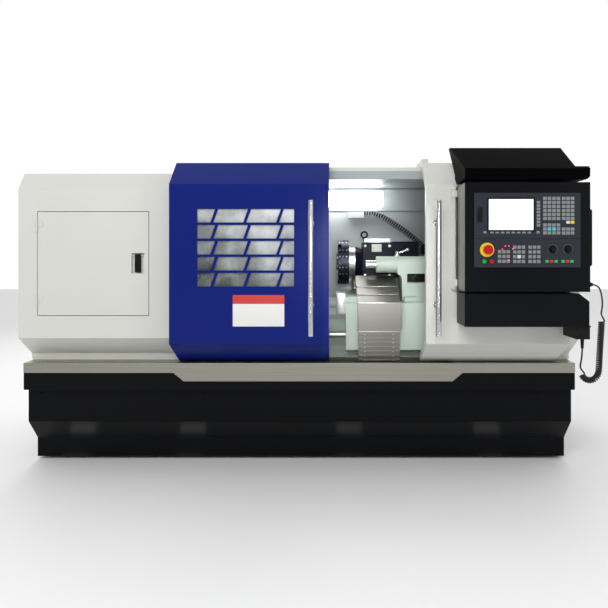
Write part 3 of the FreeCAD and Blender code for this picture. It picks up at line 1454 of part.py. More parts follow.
def apron_cover():
    x = (SHIELD, f"{SHIELD} + shield_length")
    front = f"({FRONT} + shield_setback)"
    plate = box("shield_plate", x, (front, f"{front} + skin"),
                (f"{BED_TOP} - shield_bottom", f"{BED_TOP} + 6"))
    top = box("shield_top", x, (front, f"{front} + 14"),
              (f"{BED_TOP} - 1", f"{BED_TOP} + stage_skin"))
    shelf = box("shield_shelf", x, (front, f"{BED_FRONT} - apron_depth - 5"),
                (f"{BED_TOP} - shield_bottom", f"{BED_TOP} - shield_bottom + skin"))
    curtain_y = f"({FRONT} + curtain_setback)"
    curtain = box("shield_curtain", (f"{x[0]} + 5", f"{x[1]} - 3"),
                  (curtain_y, f"{curtain_y} + 6"),
                  (f"{BED_TOP} - curtain_bottom", f"{BED_TOP} - shield_bottom + 1"))
    slats = []
    count = 7
    for index in range(count):
        z = f"({BED_TOP} - curtain_bottom + {index} * (curtain_bottom - shield_bottom) / {count})"
        slats.append(box(f"curtain_slat_{index}", (f"{x[0]} + 5", f"{x[1]} - 3"),
                         (f"{curtain_y} - 3", f"{curtain_y} + 1"),
                         (z, f"{z} + 9")))
    pieces = [plate, top, shelf, curtain, stage_plate("stage_lower", 0), *slats]
    node(fuse("apron_cover", *pieces), "apron_cover")


def cross_slide():
    y = (f"{AXIS_Y} + slide_front", f"{AXIS_Y} + slide_rear")
    plate = box("cross_plate", (f"{SADDLE} + track_inset - 12", f"{SADDLE} + saddle_length"),
                y, (CROSS_BOTTOM, CROSS_TOP))
    leaf = stage_plate("stage_upper", 2)
    reach = f"({FRONT} + shield_setback + 10 + stage_pitch * 2 + stage_depth)"
    slope = "tan(stage_slope)"
    web_top = f"{BED_TOP} + (stage_pitch * 2 + stage_depth - 30) * {slope} + stage_lift * 2"
    web = box("cross_web", (f"{SHIELD} + 20", f"{SHIELD} + shield_length - 20"),
              (f"{reach} - 30", f"{y[0]} + 1"), (f"{CROSS_TOP} - 18", f"{web_top} + 1"))
    node(fuse("cross_slide", plate, leaf, web), "cross_slide")
    node(stage_plate("cover_stage", 1), "cover_stage")


def turret_body():
    x = (f"{TURRET} + turret_setin", f"{TURRET} + turret_length")
    y = (f"{TURRET_Y} - turret_half", f"{TURRET_Y} + turret_half")
    top = f"({CROSS_TOP} + turret_height)"
    case = box("turret_case", x, y, (CROSS_TOP, top))
    plate = box("turret_lid", (f"{x[0]} + 8", f"{x[1]} - 14"),
                (f"{y[0]} + 20", f"{y[1]} - 20"), (f"{top} - 1", f"{top} + turret_plate"))
    start = f"({TURRET} - neck_length + body_gap)"
    collar = rod("turret_collar", "x", (start, f"{start} + collar_length"),
                 (TURRET_Y, TURRET_Z), "collar_radius")
    neck = rod("turret_neck", "x", (f"{start} + collar_length - 1", f"{x[0]} + 1"),
               (TURRET_Y, TURRET_Z), "collar_radius - 3", "collar_radius - 14")
    shaft_hole = rod("turret_hole", "x", (f"{TURRET} - 30", f"{TURRET} + 90"),
                     (TURRET_Y, TURRET_Z), "25 + running_gap")
    eye_x = f"{TURRET} + 71"
    stem = rod("eye_stem", "z", (f"{top} + turret_plate - 1", f"{top} + turret_plate + 8"),
               (eye_x, TURRET_Y), "8")
    ring = doc.addObject("Part::Torus", "eye_ring")
    ring.Radius1 = 17
    ring.Radius2 = 5
    ring.Placement = Placement(Vector(), Rotation(Vector(1, 0, 0), 90))
    move(ring, x=eye_x, y=TURRET_Y, z=f"{top} + turret_plate + 23")
    blank = fuse("turret_blank", case, plate, collar, neck, stem, ring)
    node(cut("turret_body", blank, shaft_hole), "turret_body")


def turret_motor():
    left = f"({TURRET} + turret_length)"
    length = "turret_motor_length"
    flange = rod("turret_motor_flange", "x", (left, f"{left} + 30"),
                 (TURRET_Y, TURRET_Z), "turret_motor_radius + 12")
    case = rod("turret_motor_case", "x", (f"{left} + 29", f"{left} + {length} - 22"),
               (TURRET_Y, TURRET_Z), "turret_motor_radius")
    dome = rod("turret_motor_dome", "x", (f"{left} + {length} - 23", f"{left} + {length}"),
               (TURRET_Y, TURRET_Z), "turret_motor_radius", "turret_motor_radius - 20")
    node(fuse("turret_motor", flange, case, dome), "turret_motor")


def tool_disc():
    right = f"({TURRET} - neck_length)"
    left = f"({right} - disc_width)"
    disc = rod("disc_blank", "x", (left, right), (TURRET_Y, TURRET_Z), "disc_radius")
    cap = rod("disc_cap", "x", (f"{left} - 8", f"{left} + 1"), (TURRET_Y, TURRET_Z),
              "disc_radius * 0.36")
    shaft = rod("disc_shaft", "x", (f"{right} - 1", f"{TURRET} + 80"),
                (TURRET_Y, TURRET_Z), "25")
    slots = []
    for index in range(int(SIZES["disc_stations"])):
        about = (TURRET_Y, TURRET_Z, 360 * index / SIZES["disc_stations"])
        slots.append(box(f"disc_pocket_{index}",
                         (f"{left} - 1", f"{left} + pocket_reach"),
                         ("-pocket_width / 2", "pocket_width / 2"),
                         ("disc_radius - pocket_depth", "disc_radius + 10"), about))
    node(cut("tool_disc", fuse("disc_full", disc, cap, shaft), *slots), "tool_disc")


# ---------------------------------------------------------------- tailstock

def tailstock():
    end = f"({TAIL} + barrel_length)"
    barrel = rod("tail_barrel", "x", (TAIL, end), (AXIS_Y, AXIS_Z), "barrel_radius")
    foot = f"({BED_TOP} + slide_gap)"
    points = [(f"{TAIL} + column_inset + 24", foot), (end, foot),
              (end, AXIS_Z), (f"{TAIL} + column_inset", AXIS_Z),
              (f"{TAIL} + column_inset", f"{AXIS_Z} - 46"),
              (f"{TAIL} + column_inset + 16", f"{AXIS_Z} - 58"),
              (f"{TAIL} + column_inset + 24", f"{AXIS_Z} - 80")]
    column = outline("tail_column", "xz", points,
                     (f"{AXIS_Y} - column_half", f"{AXIS_Y} + column_half"))
    base = box("tail_base", (f"{end} - tail_base_length", end),
               (f"{AXIS_Y} - tail_base_half", f"{AXIS_Y} + tail_base_half"),
               (foot, f"{foot} + tail_base_height"))
    pocket = box("tail_pocket", (f"{TAIL} + pocket_start", f"{end} - 24"),
                 (f"{AXIS_Y} - column_half - 1", f"{AXIS_Y} - column_half + 34"),
                 (f"{AXIS_Z} - 95", f"{AXIS_Z} - 47"))
    nut = rod("tail_nut", "y", (f"{AXIS_Y} - column_half + 8", AXIS_Y),
              (f"{TAIL} + pocket_start + 48", f"{AXIS_Z} - 74"), "13")
    lever_x = f"({TAIL} + lever_inset)"
    stud = rod("lever_stud", "z", (f"{AXIS_Z} + barrel_radius - 4",
                                   f"{AXIS_Z} + barrel_radius + 6"),
               (lever_x, AXIS_Y), "13")
    bore = rod("quill_bore", "x", (f"{TAIL} - 1", f"{TAIL} + barrel_length - 40"),
               (AXIS_Y, AXIS_Z), "quill_radius + running_gap")
    shaft_bore = rod("wheel_bore", "x", (f"{end} - 41", f"{end} + 1"),
                     (AXIS_Y, AXIS_Z), "9 + running_gap")
    lever_bore = rod("lever_bore", "z", (f"{AXIS_Z} + barrel_radius - 14",
                                         f"{AXIS_Z} + barrel_radius + 8"),
                     (lever_x, AXIS_Y), "6 + running_gap")
    column = cut("tail_column_open", column, pocket)
    blank = fuse("tail_blank", barrel, column, base, nut, stud)
    node(cut("tailstock", blank, bore, shaft_bore, lever_bore), "tailstock")


def quill():
    tip = f"({TAIL} - quill_reach)"
    sleeve = rod("quill_sleeve", "x", (tip, f"{TAIL} + 180"), (AXIS_Y, AXIS_Z),
                 "quill_radius")
    socket = rod("quill_socket", "x", (f"{tip} - 1", f"{tip} + socket_depth"),
                 (AXIS_Y, AXIS_Z), "socket_radius", "socket_radius - 2")
    node(cut("quill", sleeve, socket), "quill")


def tailstock_wheel():
    end = f"({TAIL} + barrel_length)"
    rim_left = f"({end} + 8)"
    centre = (AXIS_Y, AXIS_Z)
    rim = rod("tail_wheel_disc", "x", (rim_left, f"{rim_left} + hand_wheel_width"),
              centre, "hand_wheel_radius")
    dish = rod("tail_wheel_dish", "x", (f"{rim_left} + 8", f"{rim_left} + hand_wheel_width + 1"),
               centre, "hand_wheel_radius - 16")
    hub = rod("tail_wheel_hub", "x", (f"{rim_left} - 5", f"{rim_left} + hand_wheel_width"),
              centre, "20")
    shaft = rod("tail_wheel_shaft", "x", (f"{end} - 36", f"{rim_left} + 1"), centre, "9")
    grip = rod("tail_wheel_grip", "x",
               (f"{rim_left} + 7", f"{rim_left} + hand_wheel_width + 36"),
               (AXIS_Y, f"{AXIS_Z} + hand_wheel_radius - 10"), "8")
    wheel = fuse("tailstock_wheel", cut("tail_wheel_rim", rim, dish), hub, shaft, grip)
    node(wheel, "tailstock_wheel")


def clamp_lever():
    x = f"({TAIL} + lever_inset)"
    z = f"({AXIS_Z} + barrel_radius + 6)"
    hub = rod("clamp_hub", "z", (f"{z} + body_gap", f"{z} + 17"), (x, AXIS_Y), "12")
    stem = rod("clamp_stem", "z", (f"{z} - 18", f"{z} + 2"), (x, AXIS_Y), "6")
    arm = doc.addObject("Part::Cylinder", "clamp_arm")
    bind(arm, "Height", "lever_reach")
    arm.Radius = 4.5
    arm.Placement = Placement(Vector(), Rotation(Vector(0, 1, 0), 70))
    move(arm, x=x, y=AXIS_Y, z=f"{z} + 9")
    ball = doc.addObject("Part::Sphere", "clamp_ball")
    ball.Radius = 9
    move(ball, x=f"{x} + lever_reach * sin(70)", y=AXIS_Y,
         z=f"{z} + 9 + lever_reach * cos(70)")
    node(fuse("clamp_lever", hub, stem, arm, ball), "clamp_lever")


def build():
    base_frame()
    levelling_feet()
    chip_tray()
    left_cover()
    cover_door()
    latch_lever()
    end_cover()
    back_guard()
    top_rail()
    work_lamp()
    cable_chain()
    electric_cabinet()
    sliding_door()
    handle("door_handle_left", f"({LEFT_DOOR} + left_door_length - handle_inset)")
    hangers("hangers_left", LEFT_DOOR, f"({LEFT_DOOR} + left_door_length)")
    right_door()
    handle("door_handle_right", f"({RIGHT_DOOR} + right_handle_inset)")
    hangers("hangers_right", RIGHT_DOOR, f"({RIGHT_DOOR} + right_door_length)")
    panel_hood()
    panel_box()
    lower_console()
    control_panel()
    panel_keys()
    side_grip()
    estop_button()
    push_button(1)
    push_button(2)
    override_knob(3)
    override_knob(4)
    pendant_unit()
    unit_wheel()
    cord()
    lathe_bed()
    headstock()
    spindle()
    chuck()
    pulley("spindle_pulley", (AXIS_Y, AXIS_Z), "pulley_radius", "spindle_radius")
    main_motor()
    motor_pulley()
    drive_belt()
    feed_screw()
    saddle()
    apron_cover()
    cross_slide()
    turret_body()
    turret_motor()
    tool_disc()
    tailstock()
    quill()
    tailstock_wheel()
    clamp_lever()


def check_document():
    doc.recompute()
    for item in doc.Objects:
        bad = [state for state in item.State if state in ("Invalid", "Error")]
        if bad:
            raise RuntimeError(f"{item.Name} is {bad}")
    for item in nodes:
        if item.Shape.isNull() or not item.Shape.isValid():
            raise RuntimeError(f"{item.Label} has no valid shape")


def write_parts():
    os.makedirs("parts", exist_ok=True)
    for item in nodes:
        item.Shape.exportStep(f"parts/{item.Label}.step")
    print(len(nodes), "sub-parts written")


build()
check_document()
write_parts()
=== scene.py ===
# %% [markdown]
# # A flat-bed turning lathe
# The construction is settled before this script starts: each sheet, casting
# and shaft has its size and place, and they can't be changed here. What is
# added is what the eye reads: rounded sheet edges, coats of paint, brushed
# steel, lit keys and a curly cord. Units are metres. +X points from the chuck
# to the tailstock, -Y to the operator and +Z up.

# %% Load the frame
import json
import math

import bmesh
import bpy
from mathutils import Matrix, Vector


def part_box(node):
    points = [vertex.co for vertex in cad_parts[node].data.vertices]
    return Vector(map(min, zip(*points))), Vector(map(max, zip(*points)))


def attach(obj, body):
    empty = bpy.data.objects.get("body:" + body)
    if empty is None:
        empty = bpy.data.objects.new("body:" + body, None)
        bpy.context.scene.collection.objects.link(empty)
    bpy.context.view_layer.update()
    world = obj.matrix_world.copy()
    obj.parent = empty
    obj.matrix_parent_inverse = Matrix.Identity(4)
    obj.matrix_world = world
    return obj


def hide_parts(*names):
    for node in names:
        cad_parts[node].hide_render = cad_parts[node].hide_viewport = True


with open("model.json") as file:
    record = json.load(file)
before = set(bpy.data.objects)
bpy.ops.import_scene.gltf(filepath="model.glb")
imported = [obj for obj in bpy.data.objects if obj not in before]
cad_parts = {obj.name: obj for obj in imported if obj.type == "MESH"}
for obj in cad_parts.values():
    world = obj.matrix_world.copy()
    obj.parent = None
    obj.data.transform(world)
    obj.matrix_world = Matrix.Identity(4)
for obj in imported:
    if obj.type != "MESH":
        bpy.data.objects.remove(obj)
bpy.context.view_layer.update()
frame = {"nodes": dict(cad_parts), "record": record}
nodes = frame["nodes"]
record = frame["record"]
groups = record["behaviour"]["bodies"]
body_of = {name: body for body, members in groups.items() for name in members}
slot_of = {entry["node"]: entry["material_slot"] for entry in record["subparts"]}

# %% [markdown]
# ## The view
# A long machine is best seen square on, from chest height. The lens axis meets
# it right of its middle, so the frame is shifted instead of turned: turning the
# camera would make the uprights lean.

# %% Camera
door_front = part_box("sliding_door")[0][1]
VIEW_X = 0.164
VIEW_HEIGHT = 1.011
VIEW_DISTANCE = 2.534
camera_data = bpy.data.cameras.new("camera")
camera_data.lens = 33.16
camera_data.sensor_width = 36.0
camera_data.shift_x = -0.049
camera_data.shift_y = -0.079
camera_data.clip_end = 60.0
camera = bpy.data.objects.new("camera", camera_data)
camera.location = (VIEW_X, door_front - VIEW_DISTANCE, VIEW_HEIGHT)
camera.rotation_euler = (math.radians(90), 0, 0)
bpy.context.collection.objects.link(camera)
bpy.context.scene.camera = camera
bpy.context.scene.view_settings.view_transform = "Standard"
print("camera", [round(value, 3) for value in camera.location])

# %% [markdown]
# ## Floor and light
# A pale sky lights everything evenly, as a white studio does. It is dimmer on
# the operator's side, so that the black sheets stay black. A broad lamp at the
# upper left models the bevels, and small lamps on the floor put the soft patches
# on the slope of the black base.

# %% World
SKY_DEPTH = (-0.5, 0.3)
SKY_LEVEL = (0.34, 1.0)


def set_range(node, source, result):
    """Gives a Map Range node its source and result limits."""
    labels = ("From Min", "From Max", "To Min", "To Max")
    for label, number in zip(labels, (*source, *result)):
        node.inputs[label].default_value = number


world = bpy.data.worlds.new("studio")
bpy.context.scene.world = world
world.use_nodes = True
sky = world.node_tree.nodes["Background"]
sky.inputs["Strength"].default_value = 1.0
sky_place = world.node_tree.nodes.new("ShaderNodeTexCoord")
sky_parts = world.node_tree.nodes.new("ShaderNodeSeparateXYZ")
sky_shade = world.node_tree.nodes.new("ShaderNodeMapRange")
set_range(sky_shade, SKY_DEPTH, SKY_LEVEL)
world.node_tree.links.new(sky_place.outputs["Generated"], sky_parts.inputs["Vector"])
world.node_tree.links.new(sky_parts.outputs["Y"], sky_shade.inputs["Value"])
world.node_tree.links.new(sky_shade.outputs["Result"], sky.inputs["Color"])
print("sky level", SKY_LEVEL[0], "in front and", SKY_LEVEL[1], "behind")

# %% Lamps


def area_lamp(name, place, target, size, power, spread=180):
    """A rectangular lamp that faces a target."""
    data = bpy.data.lights.new(name, "AREA")
    data.shape = "RECTANGLE"
    data.size, data.size_y = size
    data.energy = power
    data.spread = math.radians(spread)
    lamp = bpy.data.objects.new(name, data)
    lamp.location = place
    direction = Vector(target) - Vector(place)
    lamp.rotation_euler = direction.to_track_quat("-Z", "Y").to_euler()
    lamp.visible_camera = False
    bpy.context.collection.objects.link(lamp)


area_lamp("key_lamp", (-0.9, -4.4, 3.6), (0.0, -0.3, 0.9), (3.6, 1.2), 125)
area_lamp("side_lamp", (3.4, -3.0, 1.6), (0.6, -0.3, 0.9), (0.8, 1.6), 18)
area_lamp("doorway_lamp", (0.36, -2.7, 1.15), (0.36, 0.0, 0.92), (0.3, 0.3), 0.55, 22)
area_lamp("work_light", (0.23, 0.12, 1.285), (0.36, -0.25, 0.75), (0.40, 0.05), 0.55)
area_lamp("rear_lamp", (-1.5, 4.2, 3.2), (0.0, 0.4, 0.9), (2.6, 1.2), 60)
PATCHES_X = (-1.131, -0.563, 0.243, 0.954)
PATCH_Y = -0.275
PATCH_SIZE = (0.13, 0.05)
for index, spot_x in enumerate(PATCHES_X):
    area_lamp(f"floor_lamp_{index}", (spot_x, PATCH_Y, 0.006), (spot_x, PATCH_Y, 1.0),
              PATCH_SIZE, 0.022)
print(5 + len(PATCHES_X), "lamps")

# %% Floor
FLOOR_HALF = 14
floor_mesh = bpy.data.meshes.new("floor")
bm = bmesh.new()
bmesh.ops.create_grid(bm, x_segments=1, y_segments=1, size=FLOOR_HALF)
bm.to_mesh(floor_mesh)
bm.free()
floor = bpy.data.objects.new("floor", floor_mesh)
bpy.context.collection.objects.link(floor)
print("floor", 2 * FLOOR_HALF, "m wide")

# %% [markdown]
# ## Shared surface effects
# Most finishes here are one of three: sprayed paint, brushed metal and moulded
# plastic. Paint and plastic share one node group and metal has another, so the
# grain is tuned in one place and every material sets its own colour and
# strength.

# %% Node helpers
COLOR = "NodeSocketColor"
NUMBER = "NodeSocketFloat"
VECTOR = "NodeSocketVector"


def new_group(name, inputs, outputs):
    """An empty shader group with the named sockets."""
    tree = bpy.data.node_groups.new(name, "ShaderNodeTree")
    for label, kind, value in inputs:
        socket = tree.interface.new_socket(label, in_out="INPUT", socket_type=kind)
        socket.default_value = value
    for label, kind in outputs:
        tree.interface.new_socket(label, in_out="OUTPUT", socket_type=kind)
    return tree, tree.nodes.new("NodeGroupInput"), tree.nodes.new("NodeGroupOutput")


def noise(tree, vector, scale, detail=2.0):
    """A noise texture read at a vector."""
    texture = tree.nodes.new("ShaderNodeTexNoise")
    texture.inputs["Scale"].default_value = scale
    texture.inputs["Detail"].default_value = detail
    tree.links.new(vector, texture.inputs["Vector"])
    return texture


def blend_colors(tree, mode, factor, first, second):
    """A colour mix; factor is a number or an output."""
    mix = tree.nodes.new("ShaderNodeMix")
    mix.data_type = "RGBA"
    mix.blend_type = mode
    if isinstance(factor, float):
        mix.inputs["Factor"].default_value = factor
    else:
        tree.links.new(factor, mix.inputs["Factor"])
    for source, socket in ((first, mix.inputs[6]), (second, mix.inputs[7])):
        if isinstance(source, tuple):
            socket.default_value = source
        else:
            tree.links.new(source, socket)
    return mix.outputs[2]


def calculate(tree, operation, first, second):
    """A math node on two numbers or outputs."""
    node = tree.nodes.new("ShaderNodeMath")
    node.operation = operation
    for source, socket in ((first, node.inputs[0]), (second, node.inputs[1])):
        if isinstance(source, (int, float)):
            socket.default_value = source
        else:
            tree.links.new(source, socket)
    return node.outputs[0]


# %% Paint and metal groups


def surface_group(name, stretched):
    """Grain, slow mottling and uneven gloss on Object coordinates."""
    inputs = [("Color", COLOR, (0.5, 0.5, 0.5, 1.0)), ("Mottle", NUMBER, 0.05),
              ("Roughness", NUMBER, 0.4), ("Uneven", NUMBER, 0.05),
              ("Stretch", VECTOR, (1.0, 1.0, 1.0))]
    outputs = [("Color", COLOR), ("Roughness", NUMBER), ("Height", NUMBER)]
    tree, entry, result = new_group(name, inputs, outputs)
    place = tree.nodes.new("ShaderNodeTexCoord").outputs["Object"]
    mapping = tree.nodes.new("ShaderNodeMapping")
    tree.links.new(place, mapping.inputs["Vector"])
    tree.links.new(entry.outputs["Stretch"], mapping.inputs["Scale"])
    grain = noise(tree, mapping.outputs["Vector"], 1.0, 3.0 if stretched else 1.0)
    slow = noise(tree, place, 2.3, 3.0)
    source = grain if stretched else slow
    centred = calculate(tree, "SUBTRACT", source.outputs["Fac"], 0.5)
    shade = calculate(tree, "MULTIPLY", centred, entry.outputs["Mottle"])
    factor = calculate(tree, "ADD", calculate(tree, "MULTIPLY", shade, 2.0), 1.0)
    brightness = tree.nodes.new("ShaderNodeCombineColor")
    for channel in range(3):
        tree.links.new(factor, brightness.inputs[channel])
    color = blend_colors(tree, "MULTIPLY", 1.0, entry.outputs["Color"],
                         brightness.outputs[0])
    tree.links.new(color, result.inputs["Color"])
    rough = calculate(tree, "SUBTRACT", slow.outputs["Fac"], 0.5)
    rough = calculate(tree, "MULTIPLY", rough, entry.outputs["Uneven"])
    rough = calculate(tree, "ADD", rough, entry.outputs["Roughness"])
    tree.links.new(rough, result.inputs["Roughness"])
    tree.links.new(grain.outputs["Fac"], result.inputs["Height"])
    return tree


sprayed = surface_group("sprayed_paint", False)
drawn = surface_group("brushed_metal", True)
print("groups", sprayed.name, drawn.name)

# %% Materials from the groups


def principled(name):
    """A new material and its Principled shader."""
    material = bpy.data.materials.new(name)
    material.use_nodes = True
    return material, material.node_tree.nodes["Principled BSDF"]


def finish(name, group, color, roughness, stretch, bump, mottle=0.04, uneven=0.06,
           metallic=0.0, coat=0.0, distance=0.0004, mirror=0.5):
    """A material whose colour, gloss and relief come from a surface group."""
    material, shader = principled(name)
    tree = material.node_tree
    surface = tree.nodes.new("ShaderNodeGroup")
    surface.node_tree = group
    surface.inputs["Color"].default_value = (*color, 1.0)
    surface.inputs["Mottle"].default_value = mottle
    surface.inputs["Roughness"].default_value = roughness
    surface.inputs["Uneven"].default_value = uneven
    surface.inputs["Stretch"].default_value = stretch
    relief = tree.nodes.new("ShaderNodeBump")
    relief.inputs["Strength"].default_value = bump
    relief.inputs["Distance"].default_value = distance
    tree.links.new(surface.outputs["Color"], shader.inputs["Base Color"])
    tree.links.new(surface.outputs["Roughness"], shader.inputs["Roughness"])
    tree.links.new(surface.outputs["Height"], relief.inputs["Height"])
    tree.links.new(relief.outputs["Normal"], shader.inputs["Normal"])
    shader.inputs["Metallic"].default_value = metallic
    shader.inputs["Coat Weight"].default_value = coat
    shader.inputs["Coat Roughness"].default_value = 0.12
    shader.inputs["Specular IOR Level"].default_value = mirror
    return material


def paint(name, color, roughness, grain=700.0, bump=0.12, coat=0.0, mottle=0.04,
          mirror=0.5):
    """Sprayed paint: an even colour with a fine orange peel."""
    return finish(name, sprayed, color, roughness, (grain, grain, grain), bump,
                  mottle=mottle, coat=coat, mirror=mirror)


def metal(name, color, roughness, stretch=(12.0, 900.0, 900.0), bump=0.1, mottle=0.25):
    """Metal drawn along one axis, long and faint in that direction."""
    return finish(name, drawn, color, roughness, stretch, bump, mottle=mottle,
                  metallic=1.0, distance=0.0002)


def plastic(name, color, roughness, grain=1800.0, bump=0.08, mirror=0.3):
    """Moulded plastic with a fine spark-eroded grain."""
    return finish(name, sprayed, color, roughness, (grain, grain, grain), bump,
                  mottle=0.02, distance=0.0002, mirror=mirror)


def glow(name, color, strength):
    """A lit surface."""
    material, shader = principled(name)
    shader.inputs["Base Color"].default_value = (*color, 1.0)
    shader.inputs["Emission Color"].default_value = (*color, 1.0)
    shader.inputs["Emission Strength"].default_value = strength
    shader.inputs["Roughness"].default_value = 0.35
    return material


# %% [markdown]
# ## The finishes of this machine
# Sheet metal guards are powder coated off-white with one deep blue door. The
# base and the control housing are black, the castings pale green, and the tray
# band and the slide covers are bare steel.

# %% Finish of each record slot
finishes = {
    "cover_white": paint("cover_white", (0.66, 0.665, 0.625), 0.42, 520.0, 0.16,
                         mirror=0.35),
    "door_blue": paint("door_blue", (0.004, 0.014, 0.165), 0.30, 520.0, 0.14,
                       mirror=0.12),
    "base_black": paint("base_black", (0.0028, 0.0032, 0.0042), 0.24, 600.0, 0.10,
                        mirror=0.08),
    "hood_dark": paint("hood_dark", (0.0016, 0.0016, 0.0022), 0.40, 600.0, 0.12,
                       mirror=0.01),
    "panel_black": paint("panel_black", (0.0035, 0.0045, 0.006), 0.32, 700.0, 0.12,
                         mirror=0.10),
    "tray_steel": metal("tray_steel", (0.335, 0.325, 0.28), 0.34, (3.0, 500.0, 500.0)),
    "casting_green": paint("casting_green", (0.54, 0.635, 0.555), 0.40, 160.0, 0.22,
                           mirror=0.35),
    "guard_grey": paint("guard_grey", (0.37, 0.41, 0.42), 0.42, 420.0, 0.12,
                        mirror=0.3),
    "steel": metal("ground_steel", (0.56, 0.56, 0.56), 0.30),
    "chrome": metal("polished_steel", (0.62, 0.62, 0.61), 0.26, (300.0, 300.0, 8.0),
                    0.02, 0.06),
    "iron": metal("machined_iron", (0.22, 0.22, 0.23), 0.34, (500.0, 20.0, 500.0)),
    "turret_dark": paint("turret_dark", (0.0065, 0.008, 0.018), 0.36, 260.0, 0.16,
                         mirror=0.07),
    "disc_dark": metal("black_oxide", (0.030, 0.030, 0.040), 0.38, (600.0, 30.0, 600.0)),
    "armour": metal("slide_cover", (0.215, 0.21, 0.19), 0.42, (600.0, 8.0, 600.0),
                    0.08, 0.12),
    "plastic_black": plastic("black_plastic", (0.006, 0.006, 0.007), 0.40, mirror=0.15),
    "face_grey": plastic("control_foil", (0.026, 0.029, 0.040), 0.46, mirror=0.15),
    "keys_grey": plastic("key_foil", (0.22, 0.23, 0.24), 0.42),
    "red_plastic": plastic("red_plastic", (0.50, 0.008, 0.010), 0.28),
    "green_plastic": plastic("green_plastic", (0.01, 0.36, 0.06), 0.30),
    "cord_black": plastic("cord_sheath", (0.008, 0.008, 0.009), 0.34, mirror=0.4),
    "lamp_white": glow("lamp_diffuser", (1.0, 0.985, 0.96), 7.0),
    "belt_rubber": plastic("belt_rubber", (0.015, 0.015, 0.015), 0.6),
}


def glass_finish():
    """Safety glass with a painted reflection of a workshop's windows: a pale, partly
    opaque film that grows upwards, to the left and in cloudy patches.
    """
    material, shader = principled("safety_glass")
    tree = material.node_tree
    place = tree.nodes.new("ShaderNodeTexCoord").outputs["Object"]
    parts = tree.nodes.new("ShaderNodeSeparateXYZ")
    tree.links.new(place, parts.inputs["Vector"])
    rise = tree.nodes.new("ShaderNodeMapRange")
    tree.links.new(parts.outputs["Z"], rise.inputs["Value"])
    set_range(rise, (0.87, 1.22), (0.0, 0.48))
    side = tree.nodes.new("ShaderNodeMapRange")
    tree.links.new(parts.outputs["X"], side.inputs["Value"])
    set_range(side, (-0.42, -0.14), (0.0, 0.30))
    # Painted reflection: height, a leftward ramp and noise set both the opacity and the
    # pale colour of the glass.
    cloud = noise(tree, place, 9.0, 4.0)
    drift = calculate(tree, "SUBTRACT", cloud.outputs["Fac"], 0.38)
    painted_reflection = calculate(tree, "ADD", rise.outputs["Result"], side.outputs["Result"])
    painted_reflection = calculate(tree, "ADD", painted_reflection, calculate(tree, "MULTIPLY", drift, 0.9))
    painted_reflection = calculate(tree, "MINIMUM", calculate(tree, "MAXIMUM", painted_reflection, 0.12), 0.92)
    tree.links.new(painted_reflection, shader.inputs["Alpha"])
    reflection_tint = tree.nodes.new("ShaderNodeValToRGB")
    reflection_tint.color_ramp.elements[0].color = (0.26, 0.30, 0.29, 1.0)
    reflection_tint.color_ramp.elements[1].color = (0.80, 0.84, 0.84, 1.0)
    reflection_tint.color_ramp.elements[0].position = 0.25
    reflection_tint.color_ramp.elements[1].position = 0.85
    tree.links.new(painted_reflection, reflection_tint.inputs["Fac"])
    tree.links.new(reflection_tint.outputs["Color"], shader.inputs["Base Color"])
    shader.inputs["Roughness"].default_value = 0.05
    return material


finishes["window_glass"] = glass_finish()
floor_finish = paint("studio_floor", (0.93, 0.93, 0.93), 0.55, 90.0, 0.02, mottle=0.01)
floor_mesh.materials.append(floor_finish)
for name, node in nodes.items():
    for holder in node.material_slots:
        holder.material = finishes[slot_of[name]]
print(len(finishes), "finishes")

# %% [markdown]
# ## Rounded edges
# No sheet or casting has a knife edge, and the thin bright line along each
# fold is what makes it look real. A copy of a node is merged into clean faces,
# and its sharp edges get a small bevel; the copy then stands for the node.

# %% Rounding helper
SHARP = math.radians(30)


def add_piece(name, mesh, body, slot, material=None):
    """Links a finished mesh as a piece that rides on a body."""
    obj = bpy.data.objects.new(name, mesh)
    bpy.context.collection.objects.link(obj)
    if not mesh.materials:
        mesh.materials.append(material or finishes[slot])
    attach(obj, body)
    return obj


def smooth_faces(mesh):
    mesh.polygons.foreach_set("use_smooth", [True] * len(mesh.polygons))
    mesh.set_sharp_from_angle(angle=SHARP)


def rounded(name, width, segments=2):
    """A copy of a node with its sharp edges rounded."""
    bm = bmesh.new()
    bm.from_mesh(nodes[name].data)
    bmesh.ops.remove_doubles(bm, verts=bm.verts, dist=0.00001)
    bmesh.ops.dissolve_limit(bm, angle_limit=math.radians(0.5), verts=bm.verts,
                             edges=bm.edges, delimit={"NORMAL"})
    edges = [edge for edge in bm.edges
             if len(edge.link_faces) == 2 and edge.calc_face_angle(0.0) > SHARP]
    bmesh.ops.bevel(bm, geom=edges, offset=width, offset_type="OFFSET", affect="EDGES",
                    segments=segments, profile=0.5, material=-1, clamp_overlap=True)
    mesh = bpy.data.meshes.new(f"{name}_rounded")
    bm.to_mesh(mesh)
    bm.free()
    smooth_faces(mesh)
    obj = add_piece(f"{name}_rounded", mesh, body_of[name], slot_of[name])
    flatten = obj.modifiers.new("flat_panels", "WEIGHTED_NORMAL")
    flatten.keep_sharp = True
    flatten.weight = 60
    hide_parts(name)
    return obj


def refinish(name, material, chosen):
    """Gives the faces that pass a test another finish."""
    mesh = soft[name].data
    mesh.materials.append(material)
    last = len(mesh.materials) - 1
    count = 0
    for polygon in mesh.polygons:
        if chosen(polygon.center):
            polygon.material_index = last
            count += 1
    print(name, count, "faces in", material.name)


